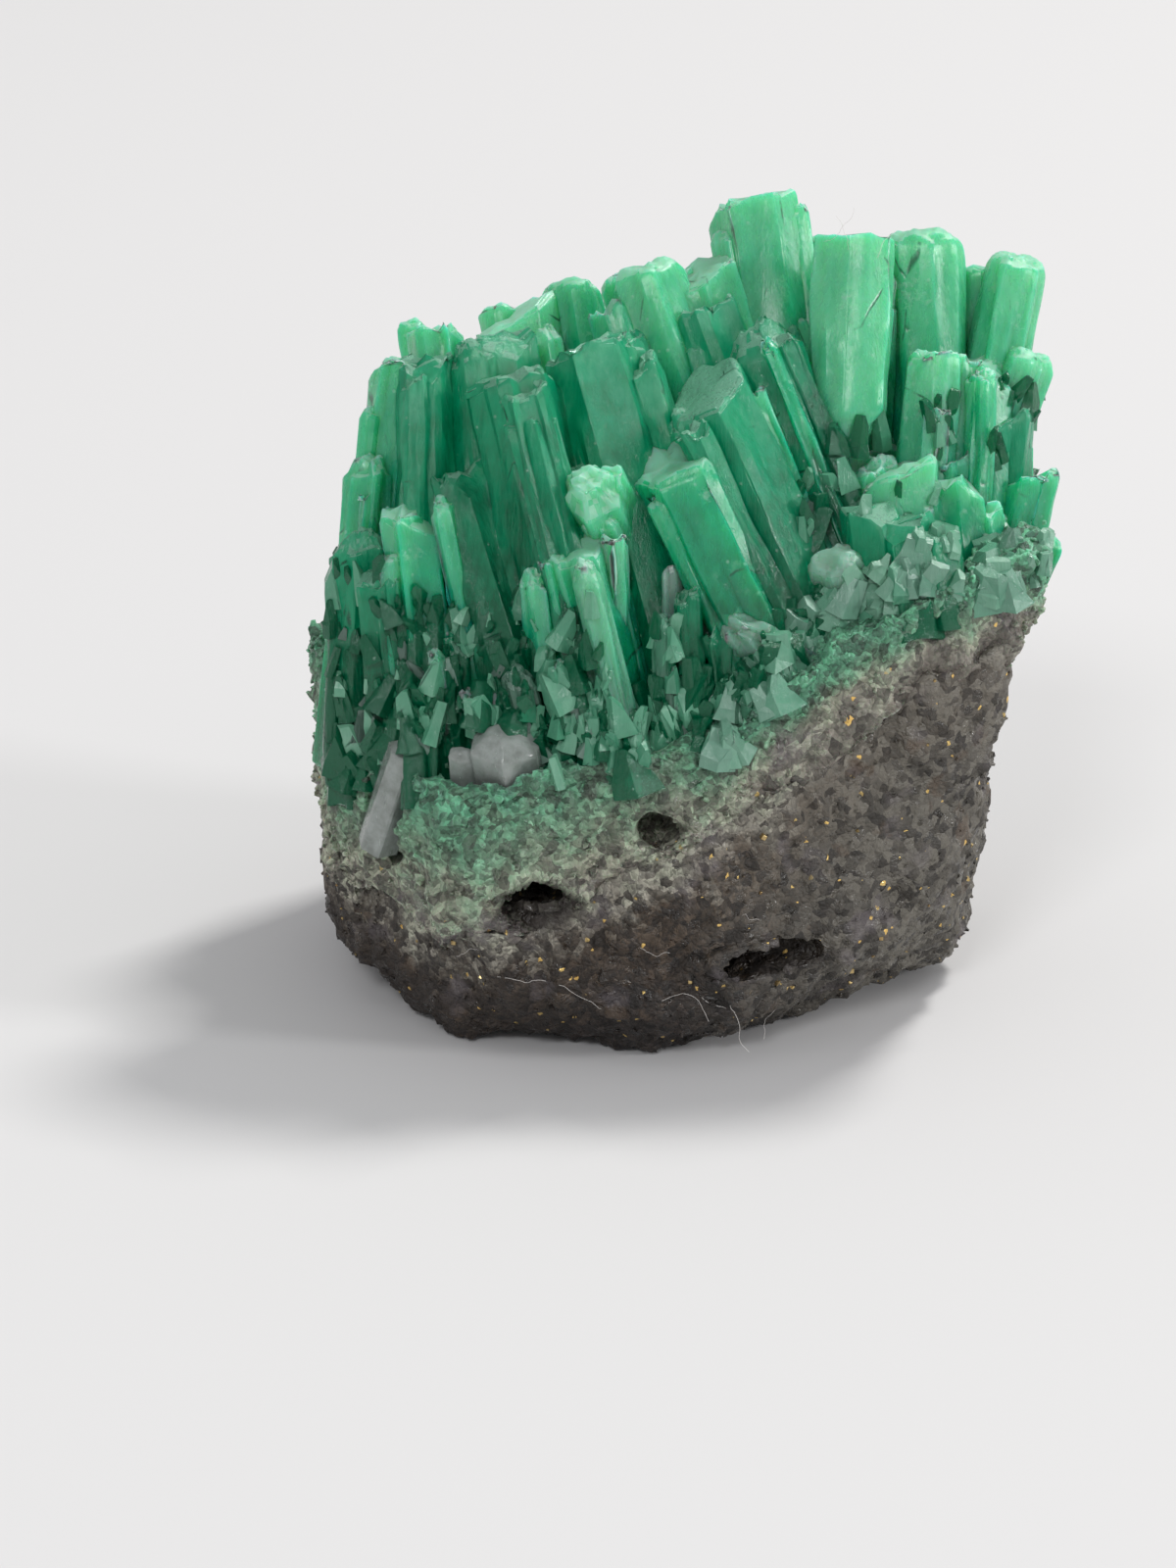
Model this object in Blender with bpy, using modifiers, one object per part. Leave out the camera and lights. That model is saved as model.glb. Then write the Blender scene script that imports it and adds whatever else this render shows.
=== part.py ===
"""Emerald in matrix: a hand specimen that stands on a flat foot.

A dark rock carries a sugary green crust, and long six-sided emeralds grow out of the crust in a fan.
The frame is +Z up with the front towards -Y, and its origin is under the middle of the specimen.
Places on the front are measured as they look to an eye a little above the horizon: so many millimetres
across from the middle, so many up from the lowest point, and so far back along Y.
"""

import math

import bmesh
import bpy
from mathutils import Matrix, Vector, noise

MM = 0.001

# The eye that the front places are measured for.
EYE_TILT = math.radians(20)
EYE_DISTANCE = 200.0
EYE_AIM = Vector((-4.56, 0.0, 8.48))
EYE_ACROSS = -4.56
EYE_UP = 13.44

# The fracture faces of the lump: a point on each, in millimetres, and its outward direction.
SIDE_FACES = {
    "left": ((-17.1, 0, 8), (-1, -0.08, 0.0)),
    "front_left": ((-14.2, -9.6, 6), (-0.78, -0.6, -0.05)),
    "front": ((-4, -15.2, 4), (0, -1, 0.06)),
    "front_right": ((8, -13.4, 5), (0.27, -0.96, 0.03)),
    "right": ((14.8, -2, 10), (0.985, -0.1, -0.12)),
    "back_right": ((12.2, 8.8, 8), (0.75, 0.66, 0)),
    "back": ((0, 14.0, 6), (0.05, 1, 0.08)),
    "back_left": ((-13.6, 9.6, 6), (-0.72, 0.7, 0)),
}
UNDER_FACES = {
    "under_left": ((-16.0, -3, 1.2), (-0.62, -0.25, -0.74)),
    "under_front": ((-8, -13.6, 0.8), (-0.1, -0.62, -0.78)),
    "under_right": ((9.0, -7, 0.6), (0.42, -0.56, -0.71)),
    "under_back": ((0, 13.2, 0.8), (0, 0.6, -0.8)),
}

# Heights across the front of the lump, as (place across, height) points: where the rock gives way to
# the crust, and where the crust ends. Both rise a little from the front to the back.
FRONT = -13
SEAM = ((-18, 5.6), (-14, 5.4), (-10, 5.0), (-3.6, 8.2), (4, 12.6), (10.8, 16.6), (18, 17.6))
SEAM_RISE = 0.09
SEAM_RELIEF = 1.6
CROWN = (
    (-18, 14.0), (-14, 13.8), (-8, 14.9), (-3.6, 14.8), (0.5, 15.6), (4, 18.2), (8, 21.0), (12, 22.6), (18, 22.4)
)
CROWN_RISE = 0.05
CROWN_RELIEF = 1.8
SEAM_CELLS = 11
BASIN_INSET = 2.9
# How far the crust stands out over each face of the rock.
CRUST_PROUD = {
    "left": 0.7,
    "front_left": 0.7,
    "front": 0.5,
    "front_right": 0.15,
    "right": 0.5,
    "back_right": 0.3,
    "back": 0.5,
    "back_left": 0.7,
}
ROOT_DEPTH = 1.5
GAP = 0.3
UNEVEN = 0.28

ROCK_VOXEL = 1.1
ROCK_TRIANGLES = 1400
CRUST_VOXEL = 1.0
CRUST_TRIANGLES = 1100

# Hollows in the front: across, up and back of the middle, then half sizes across, up and back.
PITS = {
    "cavity": ((-6.9, 7.6, -14.6), (1.7, 1.2, 4.2)),
    "pocket": ((-0.9, 11.2, -15.0), (1.2, 0.8, 1.8)),
    "pinhole": ((-15.5, 6.6, -9.4), (0.6, 0.5, 1.2)),
    "crevice": ((3.4, 5.0, -14.4), (3.8, 0.55, 1.8)),
    "left_crevice": ((-8.8, 5.5, -15.2), (2.4, 0.5, 1.2)),
}

# Emeralds: the tip, then a lower point on the axis (each across, up, back), the width, how deep the
# section is for its width, its turn about the axis in degrees, and the end it has.
EMERALDS = {
    # the right-hand group, upright and waxy
    "tower": ((3.5, 42.0, 3.4), (5.2, 31.2, -0.4), 4.4, 0.9, 8, "flat"),
    "tower_stub": ((6.3, 39.9, 5.0), (7.0, 33.0, 3.0), 1.8, 1.0, 0, "flat"),
    "plate": ((9.4, 39.6, 4.4), (9.8, 30.0, 1.5), 3.6, 0.8, 20, "flat"),
    "shoulder": ((8.7, 38.7, 0.2), (8.3, 31.0, -1.8), 4.2, 0.8, 5, "flat"),
    "finger": ((11.7, 40.6, 0.8), (12.0, 27.0, -2.9), 3.6, 1.0, 12, "round"),
    "ribbed_block": ((14.4, 38.6, 2.6), (14.4, 28.8, 0.3), 3.6, 0.9, 4, "flat"),
    "knob": ((16.4, 39.4, 0.5), (14.6, 30.5, -1.8), 3.0, 1.0, 15, "round"),
    "low_knob": ((17.1, 34.6, -1.2), (14.6, 28.0, -3.0), 2.7, 1.0, 25, "round"),
    "right_front": ((12.4, 34.4, -3.6), (11.6, 22.0, -6.4), 2.9, 0.9, 10, "flat"),
    "right_front_2": ((14.4, 34.2, -2.6), (13.9, 23.0, -6.0), 3.0, 0.9, 22, "flat"),
    "right_edge": ((15.9, 31.8, -3.2), (15.2, 22.0, -5.0), 2.7, 0.9, 0, "slant"),
    "right_edge_low": ((17.1, 28.9, -4.2), (15.3, 22.0, -5.5), 2.6, 1.0, 30, "slant"),
    "right_root": ((17.4, 26.0, -5.4), (15.3, 20.5, -6.2), 2.6, 1.0, 10, "round"),
    "right_flare": ((10.6, 29.6, -7.0), (9.9, 20.0, -8.5), 3.4, 0.9, 18, "slant"),
    "right_foot": ((13.0, 26.6, -6.6), (12.6, 20.0, -6.4), 2.8, 0.9, 25, "slant"),
    # the middle group, leaning to the left
    "slope_top": ((0.7, 39.4, 1.0), (3.6, 30.7, -1.5), 3.3, 0.9, 15, "slant"),
    "left_peak": ((-1.9, 38.8, 0.4), (1.0, 30.2, -2.5), 3.7, 0.9, 30, "round"),
    "left_peak_side": ((-3.3, 36.6, -0.9), (-1.3, 30.2, -3.5), 2.4, 0.9, 5, "flat"),
    "frosted": ((1.3, 36.6, -1.0), (4.1, 28.8, -3.5), 3.2, 0.9, 12, "flat"),
    "diagonal_a": ((3.4, 36.0, -3.2), (9.1, 22.1, -8.0), 3.9, 0.9, 25, "point"),
    "diagonal_b": ((0.8, 33.7, -5.6), (7.0, 20.2, -9.6), 4.4, 0.9, 10, "slant"),
    "diagonal_c": ((-1.0, 30.4, -8.2), (4.4, 19.2, -10.8), 4.3, 0.9, 28, "slant"),
    "deep_middle": ((-2.6, 28.0, -7.5), (0.2, 20.6, -10.0), 3.4, 0.9, 0, "flat"),
    "end_on": ((-4.7, 28.4, -11.0), (-2.2, 23.5, -6.5), 2.9, 1.0, 15, "point"),
    "etched_block": ((-5.7, 26.4, -10.6), (-4.0, 20.2, -11.0), 3.6, 0.9, 20, "slant"),
    # the left-hand group, dark and glassy with frosted ends
    "big_left_2": ((-4.5, 34.8, -4.5), (-1.7, 25.0, -8.0), 4.6, 0.9, 6, "flat"),
    "lath": ((-2.0, 34.2, -5.0), (0.2, 26.9, -7.5), 2.0, 0.8, 0, "slant"),
    "big_left": ((-8.3, 33.3, -6.5), (-5.6, 22.1, -9.8), 5.0, 0.9, 10, "flat"),
    "left_block": ((-8.8, 35.2, -2.5), (-7.4, 26.9, -5.0), 2.6, 0.9, 0, "flat"),
    "left_dark": ((-10.5, 34.8, -4.5), (-9.5, 25.9, -7.5), 2.2, 0.9, 20, "point"),
    "left_pale": ((-12.0, 35.6, -2.0), (-11.2, 27.8, -5.0), 2.7, 0.9, 10, "flat"),
    "left_bud": ((-13.2, 36.1, 0.0), (-12.4, 31.6, -1.0), 1.3, 1.0, 0, "round"),
    "left_second": ((-12.4, 34.2, -5.0), (-12.4, 23.0, -9.0), 2.6, 0.9, 14, "flat"),
    "left_first": ((-13.9, 34.1, -4.0), (-15.4, 21.1, -6.0), 2.5, 0.9, 0, "flat"),
    "back_mint": ((-8.4, 37.6, 2.5), (-7.2, 30.7, 0.0), 4.7, 0.8, 10, "slant"),
    "back_round": ((-5.4, 38.0, 3.0), (-4.3, 31.2, 1.0), 2.9, 1.0, 0, "round"),
    "left_window": ((-13.4, 26.8, -8.8), (-12.4, 19.2, -9.8), 3.1, 0.9, 8, "flat"),
    "sliver": ((-11.8, 27.3, -9.5), (-10.6, 21.1, -10.4), 1.3, 0.7, 0, "point"),
    "deep_left": ((-10.6, 28.6, -7.5), (-8.4, 21.1, -10.0), 3.2, 0.9, 25, "flat"),
    "edge_long_a": ((-15.3, 29.4, -6.0), (-16.5, 17.3, -7.0), 2.4, 0.9, 10, "point"),
    "edge_long_b": ((-15.8, 25.8, -8.0), (-16.1, 14.9, -8.8), 2.3, 0.9, 25, "point"),
    "edge_long_c": ((-14.7, 24.4, -9.5), (-13.9, 15.8, -10.4), 2.3, 0.9, 5, "slant"),
    "edge_long_d": ((-16.2, 23.2, -4.8), (-16.1, 13.9, -5.2), 2.2, 0.9, 15, "point"),
    # fillers between those, deep in the cluster
    "under_left": ((-10.8, 28.4, -5.0), (-10.2, 20.0, -7.5), 5.0, 0.9, 12, "flat"),
    "under_middle": ((-5.0, 29.0, -6.0), (-4.0, 21.0, -8.5), 5.0, 0.9, 20, "flat"),
    "under_right": ((3.8, 28.6, -5.0), (4.6, 21.0, -7.5), 5.2, 0.9, 5, "flat"),
    "under_far": ((12.6, 29.0, -2.5), (12.8, 21.0, -5.5), 5.0, 0.9, 25, "flat"),
    # the short ones at the foot of the front
    "pale_lump": ((-5.8, 19.6, -12.6), (-4.6, 13.9, -12.8), 2.6, 0.9, 12, "round"),
    "blade": ((-4.7, 24.2, -13.2), (-2.2, 13.9, -13.8), 2.1, 0.6, 20, "point"),
    "splinter_a": ((-1.1, 21.2, -12.6), (-0.7, 15.4, -13.2), 1.3, 0.8, 0, "point"),
    "splinter_b": ((0.2, 22.9, -11.8), (0.6, 16.0, -12.8), 1.4, 0.8, 20, "slant"),
    "splinter_c": ((1.9, 21.2, -11.8), (2.4, 15.4, -12.8), 1.7, 0.8, 10, "point"),
    "shard_a": ((-11.5, 20.6, -10.6), (-10.8, 16.3, -10.6), 1.9, 0.9, 15, "point"),
    "shard_b": ((-9.4, 22.3, -10.2), (-8.9, 17.2, -10.5), 2.3, 0.9, 0, "slant"),
    "shard_c": ((-7.4, 21.3, -11.0), (-6.7, 15.8, -11.3), 2.0, 0.9, 25, "point"),
    "shard_d": ((-6.2, 22.8, -11.4), (-5.3, 17.2, -11.8), 1.5, 0.9, 10, "slant"),
    "shard_e": ((-12.8, 18.4, -10.2), (-12.2, 13.4, -10.2), 1.9, 0.9, 5, "point"),
    "pale_spike": ((-12.2, 19.9, -11.8), (-11.2, 16.4, -11.6), 1.2, 0.7, 0, "point"),
    "facet_shard": ((-9.9, 18.0, -12.8), (-8.6, 15.6, -12.2), 1.7, 0.7, 30, "slant"),
    "glass_shard": ((-8.2, 19.0, -12.8), (-7.2, 15.6, -12.6), 1.7, 0.8, 10, "point"),
    "etched_shard": ((-7.2, 24.0, -11.6), (-6.5, 19.0, -11.6), 1.8, 0.8, 0, "point"),
    "middle_shard": ((-3.3, 25.4, -11.4), (-3.0, 19.0, -11.6), 1.3, 0.8, 0, "flat"),
    "lilac_flake": ((-0.4, 24.2, -10.8), (-0.2, 19.5, -11.4), 1.1, 0.4, 0, "point"),
}

# Closely packed crystals fill the cluster behind and below those. Their feet stand on a staggered
# grid, and their tips follow the ridge of the cluster, falling away to the front and the back.
PACK_STEP = 5.0
PACK_WIDTH = 6.0
PACK_JITTER = 1.1
PACK_INSET = 1.6
PACK_WALL = 0.9
RIDGE = ((-17, 25), (-14, 28.5), (-8, 32), (-3, 33), (3, 35.5), (9, 35), (15, 34), (18, 31))
RIDGE_FALL = ((-13, -18), (-8, -13), (-4, -8), (0, -4.5), (4, -3), (8, -4.5), (14, -11))
LEAN_ACROSS = ((-17, 0.18), (-12, 0.04), (-6, -0.2), (3, -0.35), (8, -0.2), (17, 0.03))
LEAN_BACK = ((-12, 0.4), (0, 0.15), (6, 0.2), (13, 0.4))

# Crystals that aren't rooted in the crust: they lie against the others, and stop at the lower point.
LYING = {
    "tongue": ((8.0, 29.6, -6.0), (8.4, 38.6, -2.2), 4.2, 0.7, 4, "point"),
    "pale_lens": ((2.4, 24.2, -11.0), (6.0, 21.6, -9.6), 1.7, 0.7, 10, "point"),
    "grey_lens": ((2.4, 21.3, -12.4), (7.4, 18.8, -10.6), 2.7, 0.7, 0, "point"),
    "low_lens": ((3.1, 18.7, -13.2), (6.6, 16.4, -11.6), 1.6, 0.7, 20, "point"),
    "grey_hump": ((7.4, 24.6, -10.8), (9.6, 20.2, -8.8), 2.9, 0.8, 15, "round"),
}
LYING_REACH = 1.5

# The ends of the crystals: rings by how far each is drawn in and how far it rises, both as shares of
# the ring below and of the radius, and then how much the end slopes across.
ENDS = {
    "flat": (((0.90, 0.10),), 0.05),
    "slant": (((0.88, 0.12),), 0.45),
    "point": (((0.45, 0.55),), 0.20),
    "round": (((0.90, 0.26), (0.66, 0.26)), 0.0),
}
CHIP_LEAN = 0.9

# Grey crystals of another kind, seated in the crust in front of the emeralds.
QUARTZES = {
    "quartz_left": ((-13.0, 15.8, -12.3), (-14.8, 10.4, -11.0), 2.4, 0.8, 10, "point"),
    "quartz_middle": ((-8.8, 16.4, -14.3), (-7.9, 11.6, -12.6), 3.0, 0.9, 20, "point"),
    "quartz_chip": ((-10.8, 15.4, -14.2), (-10.4, 11.6, -12.6), 1.3, 0.8, 0, "point"),
}

MATERIALS = {
    "rock": ((0.105, 0.095, 0.085, 1), 0.85),
    "crust": ((0.23, 0.33, 0.25, 1), 0.6),
    "emerald": ((0.05, 0.42, 0.24, 1), 0.2),
    "quartz": ((0.42, 0.45, 0.43, 1), 0.15),
}


def material(name):
    """The plain material of this finish."""
    made = bpy.data.materials.get(name) or bpy.data.materials.new(name)
    made.use_nodes = True
    shader = made.node_tree.nodes["Principled BSDF"]
    colour, roughness = MATERIALS[name]
    shader.inputs["Base Color"].default_value = colour
    shader.inputs["Roughness"].default_value = roughness
    if name in ("emerald", "quartz"):
        shader.inputs["Transmission Weight"].default_value = 0.6
        shader.inputs["IOR"].default_value = 1.57
    return made


def place(across, up, back):
    """The point, in millimetres, where the eye's line through this front place is so far back."""
    rightward = Vector((1, 0, 0))
    forward = Vector((0, math.cos(EYE_TILT), -math.sin(EYE_TILT)))
    upward = Vector((0, math.sin(EYE_TILT), math.cos(EYE_TILT)))
    eye = EYE_AIM - forward * EYE_DISTANCE
    seen = EYE_AIM + rightward * (across - EYE_ACROSS) + upward * (up - EYE_UP)
    line = seen - eye
    return eye + line * ((back - eye.y) / line.y)


def along(points, at):
    """The value between the nearest two of these (place, value) points."""
    for (low, first), (high, second) in zip(points, points[1:]):
        if at <= high:
            return first + (second - first) * max(0.0, at - low) / (high - low)
    return points[-1][1]


def seam_height(x, y):
    """How high the rock reaches here."""
    relief = noise.noise(Vector((x * 0.31, y * 0.31, 4.0))) * SEAM_RELIEF
    return along(SEAM, x) + SEAM_RISE * (y - FRONT) + relief


def crown_height(x, y):
    """How high the crust reaches here."""
    relief = noise.noise(Vector((x * 0.37, y * 0.37, 9.0))) * CROWN_RELIEF
    return along(CROWN, x) + CROWN_RISE * (y - FRONT) + relief


def rim_height(x, y):
    """How low the crust reaches here, a gap above the rock."""
    return seam_height(x, y) + 1.4 * GAP


def root_height(x, y):
    """How low the crystals are rooted in the crust."""
    return crown_height(x, y) - ROOT_DEPTH


def hollow_height(x, y):
    """How low the hollow for the crystals reaches in the crust."""
    return root_height(x, y) - 1.4 * GAP


def foot_height(x, y):
    """The level that the rock is cut off at underneath."""
    return 0.0


def add_object(name, mesh, collection, finish):
    """A new object of this mesh in the collection."""
    made = bpy.data.objects.new(name, mesh)
    collection.objects.link(made)
    made.data.materials.append(material(finish))
    return made


def add_cutter(name, mesh, *collections):
    """A helper object that no render shows."""
    made = bpy.data.objects.new(name, mesh)
    for collection in collections:
        collection.objects.link(made)
    made.hide_render = True
    made.display_type = "WIRE"
    return made


def mesh_from(shape, name):
    """Writes a bmesh into a new mesh, in metres."""
    bmesh.ops.scale(shape, vec=(MM, MM, MM), verts=shape.verts)
    bmesh.ops.recalc_face_normals(shape, faces=shape.faces)
    mesh = bpy.data.meshes.new(name)
    shape.to_mesh(mesh)
    shape.free()
    return mesh


def slice_off(shape, point, outward):
    """Cuts a closed shape by a plane, drops what is outside it and closes the cut."""
    everything = shape.verts[:] + shape.edges[:] + shape.faces[:]
    cut = bmesh.ops.bisect_plane(
        shape, geom=everything, plane_co=point, plane_no=outward, clear_outer=True
    )
    rim = [item for item in cut["geom_cut"] if isinstance(item, bmesh.types.BMEdge)]
    bmesh.ops.edgeloop_fill(shape, edges=rim)


def lump(proud, bottom, top):
    """The bare lump, each side moved out by what proud gives it, cut level at the bottom and the top."""
    shape = bmesh.new()
    bmesh.ops.create_cube(shape, size=80)
    for name, (point, outward) in (SIDE_FACES | UNDER_FACES).items():
        outward = Vector(outward).normalized()
        slice_off(shape, Vector(point) + outward * proud.get(name, 0), outward)
    slice_off(shape, Vector((0, 0, bottom)), Vector((0, 0, -1)))
    slice_off(shape, Vector((0, 0, top)), Vector((0, 0, 1)))
    return shape


def clouds(name, size, basis="BLENDER_ORIGINAL", depth=2):
    """A procedural texture with features of this size in millimetres."""
    made = bpy.data.textures.new(name, "CLOUDS")
    made.noise_scale = size * MM
    made.noise_basis = basis
    made.noise_depth = depth
    return made


def roughen(target, size, strength, basis="BLENDER_ORIGINAL"):
    """Moves the surface in and out by up to half the strength, in millimetres."""
    modifier = target.modifiers.new(f"rough_{size}", "DISPLACE")
    modifier.texture = clouds(f"{target.name}_{size}", size, basis)
    modifier.texture_coords = "LOCAL"
    modifier.strength = strength * MM
    modifier.mid_level = 0.5


def remesh(target, voxel):
    """Gives the shape an even skin."""
    modifier = target.modifiers.new("even_skin", "REMESH")
    modifier.mode = "VOXEL"
    modifier.voxel_size = voxel * MM


def evaluated_copy(source, name):
    """A new mesh with the source's modifiers applied."""
    graph = bpy.context.evaluated_depsgraph_get()
    mesh = bpy.data.meshes.new_from_object(source.evaluated_get(graph))
    mesh.name = name
    return mesh


def thin_out(target, triangles):
    """Collapses the skin to about this many triangles."""
    graph = bpy.context.evaluated_depsgraph_get()
    mesh = target.evaluated_get(graph).to_mesh()
    mesh.calc_loop_triangles()
    have = len(mesh.loop_triangles)
    modifier = target.modifiers.new("thin_out", "DECIMATE")
    modifier.ratio = min(1.0, triangles / have)
    modifier.use_collapse_triangulate = True


def boolean(target, kind, collection):
    """Cuts or joins with everything in a collection at once."""
    modifier = target.modifiers.new(f"{kind}_{collection.name}", "BOOLEAN")
    modifier.operation = kind
    modifier.solver = "EXACT"
    modifier.operand_type = "COLLECTION"
    modifier.collection = collection


def bake(target):
    """Replaces an object's mesh by what its modifiers make of it."""
    mesh = evaluated_copy(target, target.name)
    target.modifiers.clear()
    old = target.data
    target.data = mesh
    bpy.data.meshes.remove(old)


def block_from(name, level, far, collection):
    """A helper block that reaches from this uneven level to the height far, above it or below it."""
    shape = bmesh.new()
    bmesh.ops.create_grid(shape, x_segments=SEAM_CELLS, y_segments=SEAM_CELLS, size=24)
    for vertex in shape.verts:
        vertex.co.z = level(vertex.co.x, vertex.co.y)
    bmesh.ops.triangulate(shape, faces=shape.faces, quad_method="FIXED")
    extruded = bmesh.ops.extrude_face_region(shape, geom=shape.faces[:])["geom"]
    for item in extruded:
        if isinstance(item, bmesh.types.BMVert):
            item.co.z = far
    return add_cutter(name, mesh_from(shape, name), collection)


def pit_cutters(*collections):
    """One rough ellipsoid for each hollow in the front."""
    for name, (middle, halves) in PITS.items():
        shape = bmesh.new()
        bmesh.ops.create_icosphere(shape, subdivisions=2, radius=1)
        across, up, back = halves
        bmesh.ops.scale(shape, vec=(across, back, up), verts=shape.verts)
        for vertex in shape.verts:
            vertex.co *= 1 + 0.35 * noise.noise(vertex.co * 0.9)
        bmesh.ops.translate(shape, vec=place(*middle), verts=shape.verts)
        add_cutter(f"pit_{name}", mesh_from(shape, name), *collections)


def skin(made, voxel, triangles, *rough):
    """Gives a bare lump its rough skin: each roughness is a feature size and a strength."""
    remesh(made, voxel)
    for size, strength in rough:
        roughen(made, size, strength)
    remesh(made, voxel * 0.8)
    thin_out(made, triangles)


def clean(target):
    """Drops what cutting left over: crumbs, points that fell together and faces folded flat."""
    shape = bmesh.new()
    shape.from_mesh(target.data)
    bmesh.ops.remove_doubles(shape, verts=shape.verts, dist=0.000001)
    pairs = {}
    for face in shape.faces:
        pairs.setdefault(frozenset(face.verts), []).append(face)
    folded = [face for faces in pairs.values() if len(faces) > 1 for face in faces]
    bmesh.ops.delete(shape, geom=folded, context="FACES")
    bare = [edge for edge in shape.edges if not edge.link_faces]
    bmesh.ops.delete(shape, geom=bare, context="EDGES")
    left = set(shape.verts)
    islands = []
    while left:
        island = {left.pop()}
        rim = list(island)
        while rim:
            reached = {edge.other_vert(vertex) for vertex in rim for edge in vertex.link_edges}
            rim = [vertex for vertex in reached if vertex in left]
            left.difference_update(rim)
            island.update(rim)
        islands.append(island)
    islands.sort(key=len)
    for island in islands[:-1]:
        bmesh.ops.delete(shape, geom=list(island), context="VERTS")
    shape.to_mesh(target.data)
    shape.free()


def rock(parts, cutters):
    """The dark rock: a fractured lump with a rough skin, cut flat underneath."""
    made = add_object("matrix_rock", mesh_from(lump({}, -0.6, 24), "rock"), parts, "rock")
    skin(made, ROCK_VOXEL, ROCK_TRIANGLES, (9.0, 3.2), (3.0, 2.0))
    boolean(made, "DIFFERENCE", cutters)
    bake(made)
    clean(made)


def crust(parts, cutters):
    """The sugary layer on the rock, with a socket for each crystal that is rooted in it."""
    made = add_object("beryl_crust", mesh_from(lump(CRUST_PROUD, 2, 30), "crust"), parts, "crust")
    skin(made, CRUST_VOXEL, CRUST_TRIANGLES, (4.0, 2.0), (1.6, 1.1))
    boolean(made, "DIFFERENCE", cutters)
    bake(made)
    clean(made)


def uneven(shape, tip):
    """Makes the six sides unequal, differently for every tip."""
    for vertex in shape.verts:
        side = math.floor(math.atan2(vertex.co.y, vertex.co.x) / math.radians(60) + 0.25)
        push = noise.noise(Vector((side % 6 * 1.3, tip.x * 2.1, tip.y * 1.7)))
        vertex.co.x *= 1 + UNEVEN * push
        vertex.co.y *= 1 + UNEVEN * push


def chip(shape, tip, radius):
    """Breaks a corner off the upper end."""
    turn = noise.noise(tip * 1.9) * 9
    inward = 0.25 + 0.6 * abs(noise.noise(tip * 3.1))
    top = max(vertex.co.z for vertex in shape.verts)
    outward = Vector((math.cos(turn), math.sin(turn), CHIP_LEAN))
    slice_off(shape, Vector((outward.x, outward.y, 0)) * radius * inward + Vector((0, 0, top)), outward)


def crystal(tip, low, width, flatness, turn, kind, spare=0.0, length=None):
    """A six-sided crystal from its tip down into the crust, as a bmesh in millimetres.

    spare grows it on every side, for the socket it sits in. length fixes how long it is, where it
    isn't rooted in the crust.
    """
    axis = (tip - low).normalized()
    if length is None:
        length = 2.5
        foot = tip - axis * length
        while foot.z > root_height(foot.x, foot.y) - width * 0.3:
            length += 0.25
            foot = tip - axis * length
    radius = width * 0.54 + spare
    rings, slope = ENDS[kind]
    shaft = length - sum(rise for drawn_in, rise in rings) * width / 2 + spare
    shape = bmesh.new()
    bmesh.ops.create_cone(
        shape, cap_ends=True, segments=6, radius1=radius * 0.96, radius2=radius, depth=shaft + spare
    )
    bmesh.ops.translate(shape, vec=(0, 0, (shaft - spare) / 2), verts=shape.verts)
    uneven(shape, tip)
    for drawn_in, rise in rings:
        top = max(shape.faces, key=lambda face: face.calc_center_median().z)
        extruded = bmesh.ops.extrude_face_region(shape, geom=[top])["geom"]
        shape.faces.remove(top)
        ring = [item for item in extruded if isinstance(item, bmesh.types.BMVert)]
        bmesh.ops.scale(shape, vec=(drawn_in, drawn_in, 1), verts=ring)
        bmesh.ops.translate(shape, vec=(0, 0, rise * width / 2), verts=ring)
    for vertex in shape.verts:
        if vertex.co.z > shaft * 0.5:
            vertex.co.z -= slope * (vertex.co.x + radius)
    if kind in ("flat", "slant") and not spare:
        chip(shape, tip, radius)
    bmesh.ops.scale(shape, vec=(1, flatness, 1), verts=shape.verts)
    foot = tip - axis * length
    stand = axis.to_track_quat("Z", "Y").to_matrix().to_4x4()
    spin = Matrix.Rotation(math.radians(turn), 4, "Z")
    bmesh.ops.transform(shape, matrix=Matrix.Translation(foot) @ stand @ spin, verts=shape.verts)
    return shape


def all_emeralds():
    """Every crystal of the cluster: its tip, a lower point, and the rest of its row."""
    for name, (tip, low, *rest) in EMERALDS.items():
        yield name, place(*tip), place(*low), rest, None
    for name, (tip, low, *rest) in LYING.items():
        tip, low = place(*tip), place(*low)
        yield name, tip, low, rest, (tip - low).length + LYING_REACH
    for row in range(-2, 4):
        for place_in_row in range(-5, 6):
            x = (place_in_row + (row % 2) / 2) * PACK_STEP
            y = row * PACK_STEP * 0.87
            if inside_lump(x, y):
                yield (f"pack_{row}_{place_in_row}", *packed(x, y), None)


def inside_lump(x, y):
    """Whether a crystal's foot can stand here, well away from the sides of the lump."""
    here = Vector((x, y, crown_height(x, y)))
    for point, outward in SIDE_FACES.values():
        if Vector(outward).normalized().dot(here - Vector(point)) > -PACK_INSET:
            return False
    return True


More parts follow.
